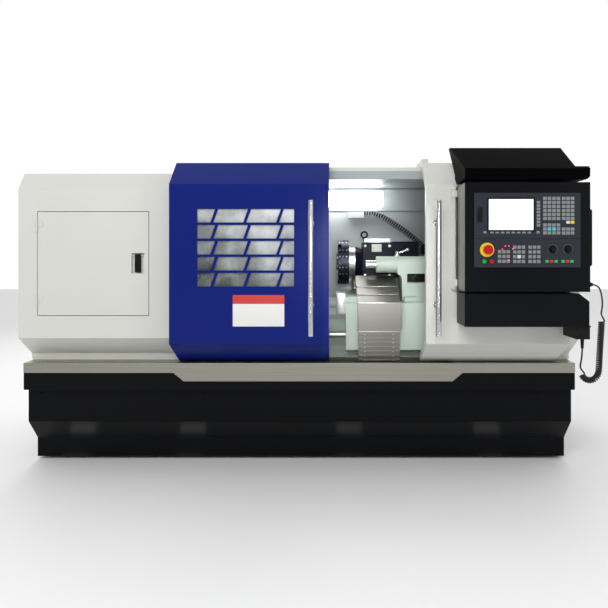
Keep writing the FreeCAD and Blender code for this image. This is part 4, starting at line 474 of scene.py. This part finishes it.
# %% Round the sheets, castings and fittings
EDGE_WIDTHS = {
    0.0030: ["base_frame", "panel_hood", "lower_console", "saddle", "tailstock",
             "headstock", "turret_body", "main_motor"],
    0.0022: ["left_cover", "end_cover", "sliding_door", "right_door", "panel_box",
             "side_grip", "electric_cabinet", "pendant_unit", "lathe_bed"],
    0.0014: ["cover_door", "cross_slide", "turret_motor", "z_motor", "top_rail",
             "chuck_jaw_1", "chuck_jaw_2", "chuck_jaw_3", "back_guard", "cable_chain",
             "tailstock_wheel", "latch_lever", "work_lamp", "hangers_left",
             "hangers_right", "door_handle_left", "door_handle_right", "unit_wheel"],
    0.0008: ["chip_tray", "apron_cover", "control_panel", "estop_button",
             "start_button", "stop_button", "feed_knob", "speed_knob", "tool_disc",
             "chuck_body", "quill", "clamp_lever", "cover_stage", "spindle",
             "levelling_feet"],
}
soft = {}
for width, names in EDGE_WIDTHS.items():
    for name in names:
        soft[name] = rounded(name, width)
print(len(soft), "rounded copies,",
      sum(len(obj.data.polygons) for obj in soft.values()), "faces")

# %% [markdown]
# ## Two finishes on one part
# The back guard's faces above the roof line take the white cover paint, a painted
# highlight for the light falling from above on the rail over the doorway; the back
# wall stays grey. The turret's collar and lid are bare metal on a dark housing, the
# knuckles beside the control housing are white, and the chain's end bracket is grey.
# Each is part of one node here, so the copy's faces are sorted by where they lie.

# %% Second finishes
ROOF_SKIN = 0.0135
COLLAR_LENGTH = 0.034
LID_RISE = 0.199
LID_TOP = 0.0235
HOUSING_WIDTH = 0.529
BRACKET_END = 0.336
NEAR = 0.001
roof_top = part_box("left_cover")[1][2] + ROOF_SKIN
# Painted highlight: the back guard's top faces take the white cover paint for the light
# from above.
refinish("back_guard", finishes["cover_white"], lambda at: at.z > roof_top)
collar_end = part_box("turret_body")[0][0] + COLLAR_LENGTH
refinish("turret_body", finishes["steel"], lambda at: at.x < collar_end + NEAR)
lid_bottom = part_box("turret_body")[0][2] + LID_RISE
refinish("turret_body", finishes["iron"],
         lambda at: NEAR < at.z - lid_bottom < LID_TOP and at.x > collar_end)
box_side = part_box("side_grip")[0][0] - HOUSING_WIDTH
refinish("panel_box", finishes["cover_white"], lambda at: at.x < box_side - NEAR / 2)
chain_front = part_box("cable_chain")[0][1]
refinish("cable_chain", finishes["guard_grey"], lambda at: at.x < BRACKET_END)

# %% [markdown]
# ## Small solids
# Screws, plates and dials repeat one recipe: a bmesh primitive, bevelled, moved
# to its place and added to one mesh. Collecting many in one mesh keeps the
# scene short.

# %% Helpers for small solids


def add_block(bm, low, high, bevel=0.0):
    """A block between two corners, with rounded edges."""
    low, high = Vector(low), Vector(high)
    made = bmesh.ops.create_cube(bm, size=1.0)["verts"]
    bmesh.ops.scale(bm, vec=high - low, verts=made)
    bmesh.ops.translate(bm, vec=(low + high) / 2, verts=made)
    if bevel:
        edges = list({edge for vert in made for edge in vert.link_edges})
        bmesh.ops.bevel(bm, geom=edges, offset=bevel, offset_type="OFFSET",
                        affect="EDGES", segments=2, profile=0.5, material=-1)


def add_disc(bm, centre, axis, radius, depth, bevel=0.0, sides=32):
    """A short cylinder centred on a point, with rounded rims."""
    turn = Vector((0, 0, 1)).rotation_difference(Vector(axis)).to_matrix().to_4x4()
    made = bmesh.ops.create_cone(bm, cap_ends=True, segments=sides, radius1=radius,
                                 radius2=radius, depth=depth,
                                 matrix=Matrix.Translation(centre) @ turn)["verts"]
    if bevel:
        rims = {edge for vert in made for edge in vert.link_edges
                if edge.calc_face_angle(0.0) > SHARP}
        bmesh.ops.bevel(bm, geom=list(rims), offset=bevel, offset_type="OFFSET",
                        affect="EDGES", segments=2, profile=0.5, material=-1)


def solid(name, body, slot, make, material=None):
    """Runs make on a new bmesh and adds the result as a piece."""
    bm = bmesh.new()
    make(bm)
    mesh = bpy.data.meshes.new(name)
    bm.to_mesh(mesh)
    bm.free()
    smooth_faces(mesh)
    add_piece(name, mesh, body, slot, material)
    print(name, len(mesh.polygons), "faces on", body)


def screw_heads(bm, places, axis, radius, height):
    """Cap screws as low bevelled discs, standing on a face."""
    axis = Vector(axis)
    for place in places:
        centre = Vector(place) + axis * height / 2
        add_disc(bm, centre, axis, radius, height, height * 0.25, 20)


# %% [markdown]
# ## Panel keys
# The operator's panel is a foil keyboard: rows of low caps, grey with a few
# coloured ones. The keys exist as one node of loose boxes, so the copy keeps
# them together. A short list of areas, each with its left, right, top and bottom
# in millimetres, says which keys are coloured; the first that fits counts.

# %% Keys
face_low, face_high = (Vector(corner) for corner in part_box("control_panel"))
face_left = face_low.x
face_top = face_high.z
face_front = face_low.y + 0.003
MM = 1000
key_finishes = [
    finishes["keys_grey"],
    plastic("key_blue_grey", (0.20, 0.27, 0.34), 0.42),
    plastic("key_yellow", (0.75, 0.55, 0.03), 0.40),
    plastic("key_green", (0.03, 0.42, 0.12), 0.40),
    plastic("key_red", (0.60, 0.03, 0.03), 0.40),
    plastic("key_cyan", (0.10, 0.45, 0.50), 0.40),
    plastic("key_pale", (0.62, 0.64, 0.66), 0.42),
]
keys = rounded("panel_keys", 0.0005)
for material in key_finishes[1:]:
    keys.data.materials.append(material)


KEY_AREAS = [
    (404, 999, 115, 133, 2), (385, 404, 115, 133, 6), (306, 348, 143, 163, 5),
    (318, 335, 280, 999, 4), (384, 401, 280, 999, 4), (295, 999, 280, 999, 3),
    (180, 198, 260, 280, 6),
]


def key_finish(across, down):
    """The finish of the key at a place measured from the face's top left, in mm."""
    for left, right, top, bottom, number in KEY_AREAS:
        if left < across < right and top < down < bottom:
            return number
    return 0


for polygon in keys.data.polygons:
    middle = polygon.center
    polygon.material_index = key_finish((middle.x - face_left) * MM,
                                        (face_top - middle.z) * MM)
print("keys", len(keys.data.polygons), "faces")

# %% [markdown]
# ## Screen, stop switch and dials
# The screen is lit, so it emits. It shows a plain pale field in a black frame.
# The stop switch sits on a yellow disc, and each override dial has a ring of
# ticks.

# %% Screen
SCREEN = (0.187, 0.129)
SCREEN_INSET = (0.062, 0.027)
screen_left = face_left + SCREEN_INSET[0]
screen_top = face_top - SCREEN_INSET[1]


def screen_frame(bm):
    """Four bars round the glass."""
    left, right = screen_left, screen_left + SCREEN[0]
    low, high = screen_top - SCREEN[1], screen_top
    back, front = face_front + 0.0018, face_front - 0.0022
    bar = 0.0075
    add_block(bm, (left - bar, front, high), (right + bar, back, high + bar), 0.0006)
    add_block(bm, (left - bar, front, low - bar), (right + bar, back, low), 0.0006)
    add_block(bm, (left - bar, front, low), (left, back, high), 0.0006)
    add_block(bm, (right, front, low), (right + bar, back, high), 0.0006)


def screen_face(bm):
    add_block(bm, (screen_left, face_front - 0.0002, screen_top - SCREEN[1]),
              (screen_left + SCREEN[0], face_front + 0.0018, screen_top))


solid("screen_frame", "panel", "plastic_black", screen_frame)
screen_glow = glow("screen_light", (0.86, 0.93, 1.0), 1.15)
solid("screen_face", "panel", "lamp_white", screen_face, screen_glow)


def port_cover(bm):
    """The flap over the data port, left of the screen."""
    left = face_left + 0.013
    add_block(bm, (left, face_front - 0.0025, face_top - 0.123),
              (left + 0.022, face_front, face_top - 0.062), 0.0008)


solid("port_cover", "panel", "plastic_black", port_cover)

# %% Stop switch and dials
STOP_INSET = (0.054, 0.074)
stop_x = face_left + STOP_INSET[0]
stop_z = face_low.z + STOP_INSET[1]
yellow = plastic("switch_yellow", (0.86, 0.62, 0.02), 0.34)


def stop_disc(bm):
    """The raised yellow disc round the stop switch."""
    profile = [(0.0115, -0.0031), (0.0290, -0.0031), (0.0302, -0.0022), (0.0302, 0.0)]
    ring = [bm.verts.new((0, depth, radius)) for radius, depth in profile]
    edges = [bm.edges.new(pair) for pair in zip(ring, ring[1:])]
    bmesh.ops.spin(bm, geom=ring + edges, cent=(0, 0, 0), axis=(0, 1, 0),
                   angle=math.tau, steps=48, use_merge=True)
    bmesh.ops.remove_doubles(bm, verts=bm.verts, dist=0.000001)
    bmesh.ops.recalc_face_normals(bm, faces=bm.faces)
    bmesh.ops.translate(bm, vec=(stop_x, face_front - 0.0004, stop_z), verts=bm.verts)


solid("stop_disc", "panel", "red_plastic", stop_disc, yellow)
TICKS = 19
for name in ("feed_knob", "speed_knob"):
    low, high = (Vector(corner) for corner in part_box(name))
    centre = (low + high) / 2

    def dial_ticks(bm):
        """Short strokes round three quarters of the dial."""
        for count in range(TICKS):
            angle = math.radians(270 * count / (TICKS - 1) - 135)
            before = len(bm.verts)
            add_block(bm, (-0.0006, 0.0, 0.0185), (0.0006, 0.0005, 0.0222))
            bm.verts.ensure_lookup_table()
            stroke = bm.verts[before:]
            bmesh.ops.rotate(bm, verts=stroke, cent=(0, 0, 0),
                             matrix=Matrix.Rotation(angle, 3, "Y"))
        bmesh.ops.translate(bm, verts=bm.verts,
                            vec=(centre.x, face_front - 0.0005, centre.z))

    solid(f"{name}_ticks", "panel", "keys_grey", dial_ticks)

# %% Signal lights of the keys
LIGHTS = [(131, 224), (145, 224), (118, 238), (163, 236), (145, 284)]
red_light = glow("red_light", (1.0, 0.05, 0.12), 3.0)


def signal_lights(bm):
    for across, down in LIGHTS:
        centre = (face_left + across / MM, face_front - 0.0018, face_top - down / MM)
        add_disc(bm, centre, (0, 1, 0), 0.0022, 0.0012, 0.0003, 12)


solid("signal_lights", "panel", "red_plastic", signal_lights, red_light)

# %% [markdown]
# ## Fittings on the guard
# The blue door carries a two-colour plate, left bare, and the base skirt is held
# by a few screws. Both stand only a millimetre or so proud, which is enough for
# an edge to catch the light.

# %% Door plate and base screws
door_low = Vector(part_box("sliding_door")[0])
PLATE = (0.233, 0.142)
PLATE_INSET = (0.289, 0.187)
plate_left = door_low.x + PLATE_INSET[0]
plate_low = door_low.z + PLATE_INSET[1]
PLATE_HEAD = 0.040
plate_red = paint("plate_red", (0.62, 0.045, 0.04), 0.35, 900.0, 0.03)
plate_white = paint("plate_white", (0.80, 0.80, 0.78), 0.35, 900.0, 0.03)


def plate_part(bottom, top):
    """A stretch of the plate, a millimetre thick."""
    def make(bm):
        add_block(bm, (plate_left, door_low.y - 0.001, plate_low + bottom),
                  (plate_left + PLATE[0], door_low.y, plate_low + top), 0.0003)
    return make


split = PLATE[1] - PLATE_HEAD
solid("door_plate_head", "left_door", "red_plastic", plate_part(split, PLATE[1]),
      plate_red)
solid("door_plate_field", "left_door", "cover_white", plate_part(0.0, split),
      plate_white)

base_low, base_high = (Vector(corner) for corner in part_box("base_frame"))
SKIRT_SETBACK = 0.043
SKIRT_SCREW_Z = 0.349
SKIRT_SCREWS = (0.023, 0.32, 0.636, 0.938)


def base_screws(bm):
    """Black screws along the skirt, at parts of the base's length."""
    span = base_high.x - base_low.x
    places = [(base_low.x + span * part, base_low.y + SKIRT_SETBACK, SKIRT_SCREW_Z)
              for part in SKIRT_SCREWS]
    screw_heads(bm, places, (0, -1, 0), 0.0065, 0.004)


solid("base_screws", "machine", "base_black", base_screws)

# %% [markdown]
# ## The slide cover
# Chips fall on a cover that hangs over the carriage: a folded front plate with
# a slat curtain under it. Its folds catch the light as two bright lips, and a
# rivet near each end of every slat gives the plain steel its scale.

# %% Rivets and folded lips
shield_low, shield_high = (Vector(corner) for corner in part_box("apron_cover"))
SLATS = 7
SLATS_HEIGHT = 0.148
RIVET_INSET = 0.036
LIP = (0.0014, 0.0042)


def curtain_rivets(bm):
    """A rivet near each end of every curtain slat."""
    for slat in range(SLATS):
        z = shield_low.z + SLATS_HEIGHT * slat / SLATS + 0.0045
        for x in (shield_low.x + RIVET_INSET, shield_high.x - RIVET_INSET):
            add_disc(bm, (x, shield_low.y + 0.0312, z), (0, 1, 0), 0.003, 0.002,
                     0.0005, 12)


def shield_lips(bm):
    """The folded lips at the top and bottom of the cover's front plate."""
    for base in (shield_low.z + 0.1475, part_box("lathe_bed")[1][2] + 0.0025):
        add_block(bm, (shield_low.x - 0.0005, shield_low.y - LIP[0], base),
                  (shield_high.x + 0.0005, shield_low.y + 0.0006, base + LIP[1]), 0.0006)


solid("curtain_rivets", "carriage", "steel", curtain_rivets)
solid("shield_lips", "carriage", "steel", shield_lips)

# %% [markdown]
# ## The turret
# A dark cast box carries the tool disc. A sheet cover with a rounded end hides
# its motor, and cap screws hold the case and the disc. A bevelled disc reads as
# a screw at this size, so the heads have no socket.

# %% Turret cover and screws
turret_low, turret_high = (Vector(corner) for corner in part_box("turret_body"))
disc_low, disc_high = (Vector(corner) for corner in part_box("tool_disc"))
disc_centre = Vector((disc_low.x, (disc_low.y + disc_high.y) / 2,
                      (disc_low.z + disc_high.z) / 2))
COVER_DROP = 0.062
COVER_ROUND = 0.014
DISC_SCREWS = [(0.062, 0.006, 0.5), (0.103, 0.005, 0.26), (0.103, 0.005, 0.74)]
STATIONS = 8


def turret_screws(bm):
    """Cap screws near the corners of the turret's front face."""
    front = turret_low.y
    left, right = turret_low.x + 0.088, turret_high.x - 0.018
    low, high = turret_low.z + 0.02, turret_low.z + 0.18
    screw_heads(bm, [(x, front, z) for x in (left, right) for z in (low, high)],
                (0, -1, 0), 0.007, 0.006)


def disc_screws(bm):
    """A ring of cap screws on the disc's face and pairs at each pocket."""
    for count in range(STATIONS):
        for radius, size, shift in DISC_SCREWS:
            turn = math.tau * (count + shift) / STATIONS
            place = disc_centre + Vector((0.008, math.sin(turn) * radius,
                                          math.cos(turn) * radius))
            screw_heads(bm, [place], (-1, 0, 0), size, 0.005)


def motor_cover(bm):
    """The dark sheet cover over the turret's motor, with a rounded end."""
    low, high = (Vector(corner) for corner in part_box("turret_motor"))
    add_block(bm, (turret_high.x - 0.001, low.y - 0.004, low.z - 0.002),
              (high.x + 0.002, high.y + 0.004, turret_high.z - COVER_DROP), 0.0)
    bm.edges.ensure_lookup_table()
    end_edges = [edge for edge in bm.edges
                 if all(vert.co.x > high.x for vert in edge.verts)]
    bmesh.ops.bevel(bm, geom=end_edges, offset=COVER_ROUND, offset_type="OFFSET",
                    affect="EDGES", segments=3, profile=0.5, material=-1)


solid("motor_cover", "cross_slide", "turret_dark", motor_cover)
solid("turret_screws", "cross_slide", "steel", turret_screws)
solid("disc_screws", "tool_disc", "steel", disc_screws)

# %% Turret plate
turret_front = turret_low.y + 0.001


def name_plate(bm):
    """A bare pale plate with rounded edges on the turret's front."""
    add_block(bm, (0.372, turret_front - 0.003, 1.034), (0.426, turret_front, 1.076),
              0.0012)


solid("turret_plate", "cross_slide", "cover_white", name_plate)

# %% [markdown]
# ## Carriage end and tailstock pocket
# The carriage ends in a bright ground block, and the tailstock has a recess with
# the nut that clamps it to the bed; a thin black plate at the back of the recess is
# painted shade. The block stands a little proud of the casting, because two faces
# in one plane would flicker.

# %% End block and pocket
saddle_low = Vector(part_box("saddle")[0])
PROUD = 0.0006
BLOCK_INSET = 0.025
BLOCK_WIDTH = 0.0478
BLOCK_RISE = 0.046
BLOCK_HEIGHT = 0.098
block_left = saddle_low.x + BLOCK_INSET


def end_block(bm):
    """The bright steel block at the carriage's left end."""
    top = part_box("lathe_bed")[1][2] + BLOCK_RISE
    add_block(bm, (block_left - PROUD, saddle_low.y - PROUD, top - BLOCK_HEIGHT),
              (block_left + BLOCK_WIDTH, saddle_low.y + 0.024, top + PROUD), 0.0015)


solid("end_block", "carriage", "steel", end_block)


def pocket_shade_and_nut(bm):
    """A thin black plate at the back of the tailstock's recess, painted shade, and the
    nut that clamps the tailstock to the bed.
    """
    # Painted shade: the thin black plate fills the back of the recess.
    add_block(bm, (0.549, -0.0685, 0.873), (0.664, -0.0655, 0.9175))
    add_disc(bm, Vector((0.595, -0.082, 0.892)), (0, 1, 0), 0.0150, 0.024, 0.0015, 6)
    add_block(bm, (0.591, -0.092, 0.872), (0.599, -0.080, 0.915), 0.0012)


solid("pocket_shade_and_nut", "tailstock", "plastic_black", pocket_shade_and_nut)

# %% [markdown]
# ## Set screws round the rims
# Small screws in rows round the disc's rim hold the tools, and a ring of them
# sits on the steel collar. Each is a ten-sided disc laid outwards on the rim,
# which is enough at a few millimetres across.

# %% Rim and collar screws
RIM_ROWS = (0.018, 0.034, 0.055)
RIM_SHIFT = 0.24
COLLAR_RADIUS = 0.088
COLLAR_SCREWS = 12


def rim_screws(bm):
    """Three bright set screws on each side of every tool pocket."""
    rim = (disc_high.z - disc_low.z) / 2
    centre = Vector((0, disc_centre.y, disc_centre.z))
    for count in range(STATIONS):
        for shift in (-RIM_SHIFT, RIM_SHIFT):
            angle = math.tau * count / STATIONS + shift
            way = Vector((0, math.sin(angle), math.cos(angle)))
            for x in (disc_low.x + row for row in RIM_ROWS):
                add_disc(bm, centre + way * rim + Vector((x, 0, 0)), way, 0.0034,
                         0.0016, 0.0004, 10)


solid("rim_screws", "tool_disc", "steel", rim_screws)


def collar_screws(bm):
    """Screws round the steel collar behind the disc."""
    x = collar_end - 0.017
    for count in range(COLLAR_SCREWS):
        angle = math.tau * count / COLLAR_SCREWS
        way = Vector((0, math.sin(angle), math.cos(angle)))
        place = Vector((x, disc_centre.y, disc_centre.z)) + way * COLLAR_RADIUS
        add_disc(bm, place, way, 0.0040, 0.0020, 0.0004, 10)


solid("collar_screws", "cross_slide", "disc_dark", collar_screws)

# %% [markdown]
# ## Side of the control housing
# The housing is black in front but its left side is a paler sheet. It is made as
# a thin plate laid on the side, so that the black box keeps one finish.

# %% Side sheet


def side_sheet(bm):
    """The pale sheet on the left side of the control housing."""
    low, high = (Vector(corner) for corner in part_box("panel_box"))
    add_block(bm, (box_side - 0.0015, low.y + 0.004, low.z + 0.004),
              (box_side + 0.0005, low.y + 0.135, high.z - 0.004), 0.0004)


pale_sheet = paint("side_pale", (0.205, 0.215, 0.19), 0.30, 600.0, 0.1, mirror=0.4)
solid("housing_side", "panel", "cover_white", side_sheet, pale_sheet)

# %% [markdown]
# ## The rear and the right side
# Nobody poses in front of the back of a machine, yet it has its own fittings:
# louvres that let the cabinet breathe, hinges on its doors, and screwed access
# plates on the covers.

# %% Rear fittings
cabinet_low, cabinet_high = (Vector(corner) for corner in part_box("electric_cabinet"))
cover_box = [Vector(corner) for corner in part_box("left_cover")]
end_box = [Vector(corner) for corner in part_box("end_cover")]
LOUVRE_FIELDS = (0.10, 0.58)
LOUVRE_ROWS = 9
LOUVRE_PITCH = 0.020
PLATE_SKIN = 0.0015


def louvres(bm):
    """Two fields of pressed slats on each door of the cabinet."""
    width = cabinet_high.x - cabinet_low.x
    for part in (0.25, 0.75):
        middle = cabinet_low.x + width * part
        for base in LOUVRE_FIELDS:
            for row in range(LOUVRE_ROWS):
                z = cabinet_low.z + base + LOUVRE_PITCH * row
                if z < cabinet_high.z - 0.06:
                    add_block(bm, (middle - 0.11, cabinet_high.y - 0.001, z),
                              (middle + 0.11, cabinet_high.y + 0.004, z + 0.009), 0.002)


def access_plates(bm):
    """Thin plates on the rear of both covers and on the right end."""
    for low, high in (cover_box, end_box):
        middle = (low.x + high.x) / 2
        add_block(bm, (middle - 0.17, high.y - 0.001, low.z + 0.16),
                  (middle + 0.17, high.y + PLATE_SKIN, low.z + 0.72), 0.0005)
    side = end_box[1].x
    add_block(bm, (side - 0.001, -0.12, end_box[0].z + 0.18),
              (side + PLATE_SKIN, 0.42, end_box[0].z + 0.70), 0.0005)


def plate_screws(bm):
    """A screw near each corner of the access plates."""
    for low, high in (cover_box, end_box):
        middle = (low.x + high.x) / 2
        places = [(middle + x, high.y + PLATE_SKIN, low.z + z)
                  for x in (-0.155, 0.155) for z in (0.175, 0.705)]
        screw_heads(bm, places, (0, 1, 0), 0.006, 0.003)
    side = end_box[1].x + PLATE_SKIN
    places = [(side, y, end_box[0].z + z)
              for y in (-0.105, 0.405) for z in (0.195, 0.685)]
    screw_heads(bm, places, (1, 0, 0), 0.006, 0.003)


def cabinet_fittings(bm):
    """Three hinges on each outer edge of the cabinet."""
    height = cabinet_high.z - cabinet_low.z
    for x in (cabinet_low.x + 0.012, cabinet_high.x - 0.012):
        for part in (0.12, 0.5, 0.88):
            place = Vector((x, cabinet_high.y, cabinet_low.z + height * part))
            add_disc(bm, place, (0, 0, 1), 0.005, 0.05, 0.001, 16)


solid("cabinet_louvres", "machine", "cover_white", louvres)
solid("access_plates", "machine", "cover_white", access_plates)
solid("plate_screws", "machine", "steel", plate_screws)
solid("cabinet_hinges", "machine", "steel", cabinet_fittings)
print("rear fittings from", round(cabinet_low.x, 3), "to", round(cabinet_high.x, 3))

# %% [markdown]
# ## Cable chain
# The chain along the back wall is a row of short plastic links. Its body is
# one smooth band here, so light side plates and rungs are laid on its front,
# spaced evenly along the same bends.

# %% Links
CHAIN = [(0.337, 1.260), (0.394, 1.260), (0.452, 1.241), (0.513, 1.204),
         (0.575, 1.163), (0.636, 1.114), (0.686, 1.070)]
CHAIN_HALF = 0.0165
LINK = 0.0145
BAND_SETBACK = 0.0062
link_grey = plastic("chain_link_grey", (0.20, 0.21, 0.22), 0.36)


def chain_links(bm):
    """A rung for each link and a strip along each edge of the band."""
    corners = [Vector((x, 0, z)) for x, z in CHAIN]
    for first, last in zip(corners, corners[1:]):
        way = (last - first).normalized()
        turn = Matrix.Rotation(math.atan2(-way.z, way.x), 3, "Y")
        count = max(1, round((last - first).length / LINK))
        step = (last - first).length / count
        for index in range(count):
            before = len(bm.verts)
            start = index * step
            add_block(bm, (start, -0.0012, -CHAIN_HALF),
                      (start + 0.0045, 0.0, CHAIN_HALF), 0.0004)
            for edge in (-CHAIN_HALF, CHAIN_HALF - 0.0045):
                add_block(bm, (start + 0.0052, -0.0016, edge),
                          (start + step - 0.0012, 0.0, edge + 0.0045), 0.0004)
            bm.verts.ensure_lookup_table()
            link = bm.verts[before:]
            bmesh.ops.rotate(bm, verts=link, cent=(0, 0, 0), matrix=turn)
            bmesh.ops.translate(bm, verts=link,
                                vec=first + Vector((0, chain_front + BAND_SETBACK, 0)))


solid("chain_links", "machine", "plastic_black", chain_links, link_grey)

# %% [markdown]
# ## The curly cord
# The hand wheel unit hangs on a curly cord. Its route has three stretches: a
# plain lead from the gland, the coil and a plain tail. The turns are wound
# about the route by a loop, so the cord's whole length is in them. The first and
# last half turn climb steeply, so that the cord bends gently into the coil.

# %% Route of the cord
CORD_RADIUS = 0.0035
TURN_RADIUS = 0.0108
cord_y = -0.630
LEAD = [(1.2706, 0.8890), (1.2900, 0.8860), (1.3040, 0.8660), (1.3110, 0.8320),
        (1.3129, 0.7949), (1.3110, 0.7640)]
COIL = [(1.3110, 0.7640), (1.3050, 0.6650), (1.2990, 0.5750), (1.2960, 0.4960),
        (1.2580, 0.4741), (1.2200, 0.4960), (1.2210, 0.5360)]
TAIL = [(1.2210, 0.5360), (1.22165, 0.5620), (1.2250, 0.5880), (1.2260, 0.6145)]


def spline_object(name, points):
    """A NURBS curve of order 3 through control points."""
    data = bpy.data.curves.new(name, "CURVE")
    data.dimensions = "3D"
    data.resolution_u = 12
    spline = data.splines.new("NURBS")
    spline.points.add(len(points) - 1)
    for target, place in zip(spline.points, points):
        target.co = (*place, 1.0)
    spline.order_u = 3
    spline.use_endpoint_u = True
    return bpy.data.objects.new(name, data)


def along(points):
    """Points read evenly along the smooth line of a route."""
    guide = spline_object("guide", points)
    mesh = bpy.data.meshes.new_from_object(guide)
    line = [vert.co.copy() for vert in mesh.vertices]
    bpy.data.objects.remove(guide)
    return line


def at_distance(line, distance):
    """The point and direction at a distance along a line."""
    for first, second in zip(line, line[1:]):
        step = (second - first).length
        if distance <= step:
            return first.lerp(second, distance / step), (second - first).normalized()
        distance -= step
    return line[-1], (line[-1] - line[-2]).normalized()


# %% Winding of the coil
coil_line = along([(x, cord_y, z) for x, z in COIL])
coil_length = sum((b - a).length for a, b in zip(coil_line, coil_line[1:]))
PITCH = 0.0082
STEPS = 12
WIND_IN = [0.012, 0.009, 0.006, 0.004, 0.0025, 0.0015]
advance = PITCH / STEPS
full_steps = int((coil_length - 2 * sum(WIND_IN)) / advance)
moves = WIND_IN + [advance] * full_steps + WIND_IN[::-1]
helix = []
distance = 0.0
for step, move in enumerate([0.0] + moves):
    distance += move
    place, ahead = at_distance(coil_line, min(distance, coil_length * 0.9999))
    side = Vector((0, 1, 0))
    other = ahead.cross(side)
    angle = math.tau * step / STEPS
    helix.append(place + (side * math.cos(angle) + other * math.sin(angle)) * TURN_RADIUS)

# %% The cord
route = [Vector((x, cord_y, z)) for x, z in LEAD[:-1]] + helix
route += [Vector((x, cord_y, z)) for x, z in TAIL[1:]]
cord = spline_object("pendant_cord", route)
cord.data.resolution_u = 2
cord.data.bevel_depth = CORD_RADIUS
cord.data.bevel_resolution = 2
cord.data.use_fill_caps = True
cord.data.materials.append(finishes["cord_black"])
bpy.context.collection.objects.link(cord)
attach(cord, "panel")
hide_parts("cord_lead", "cord_coil", "cord_tail")
cord_line = along(route)
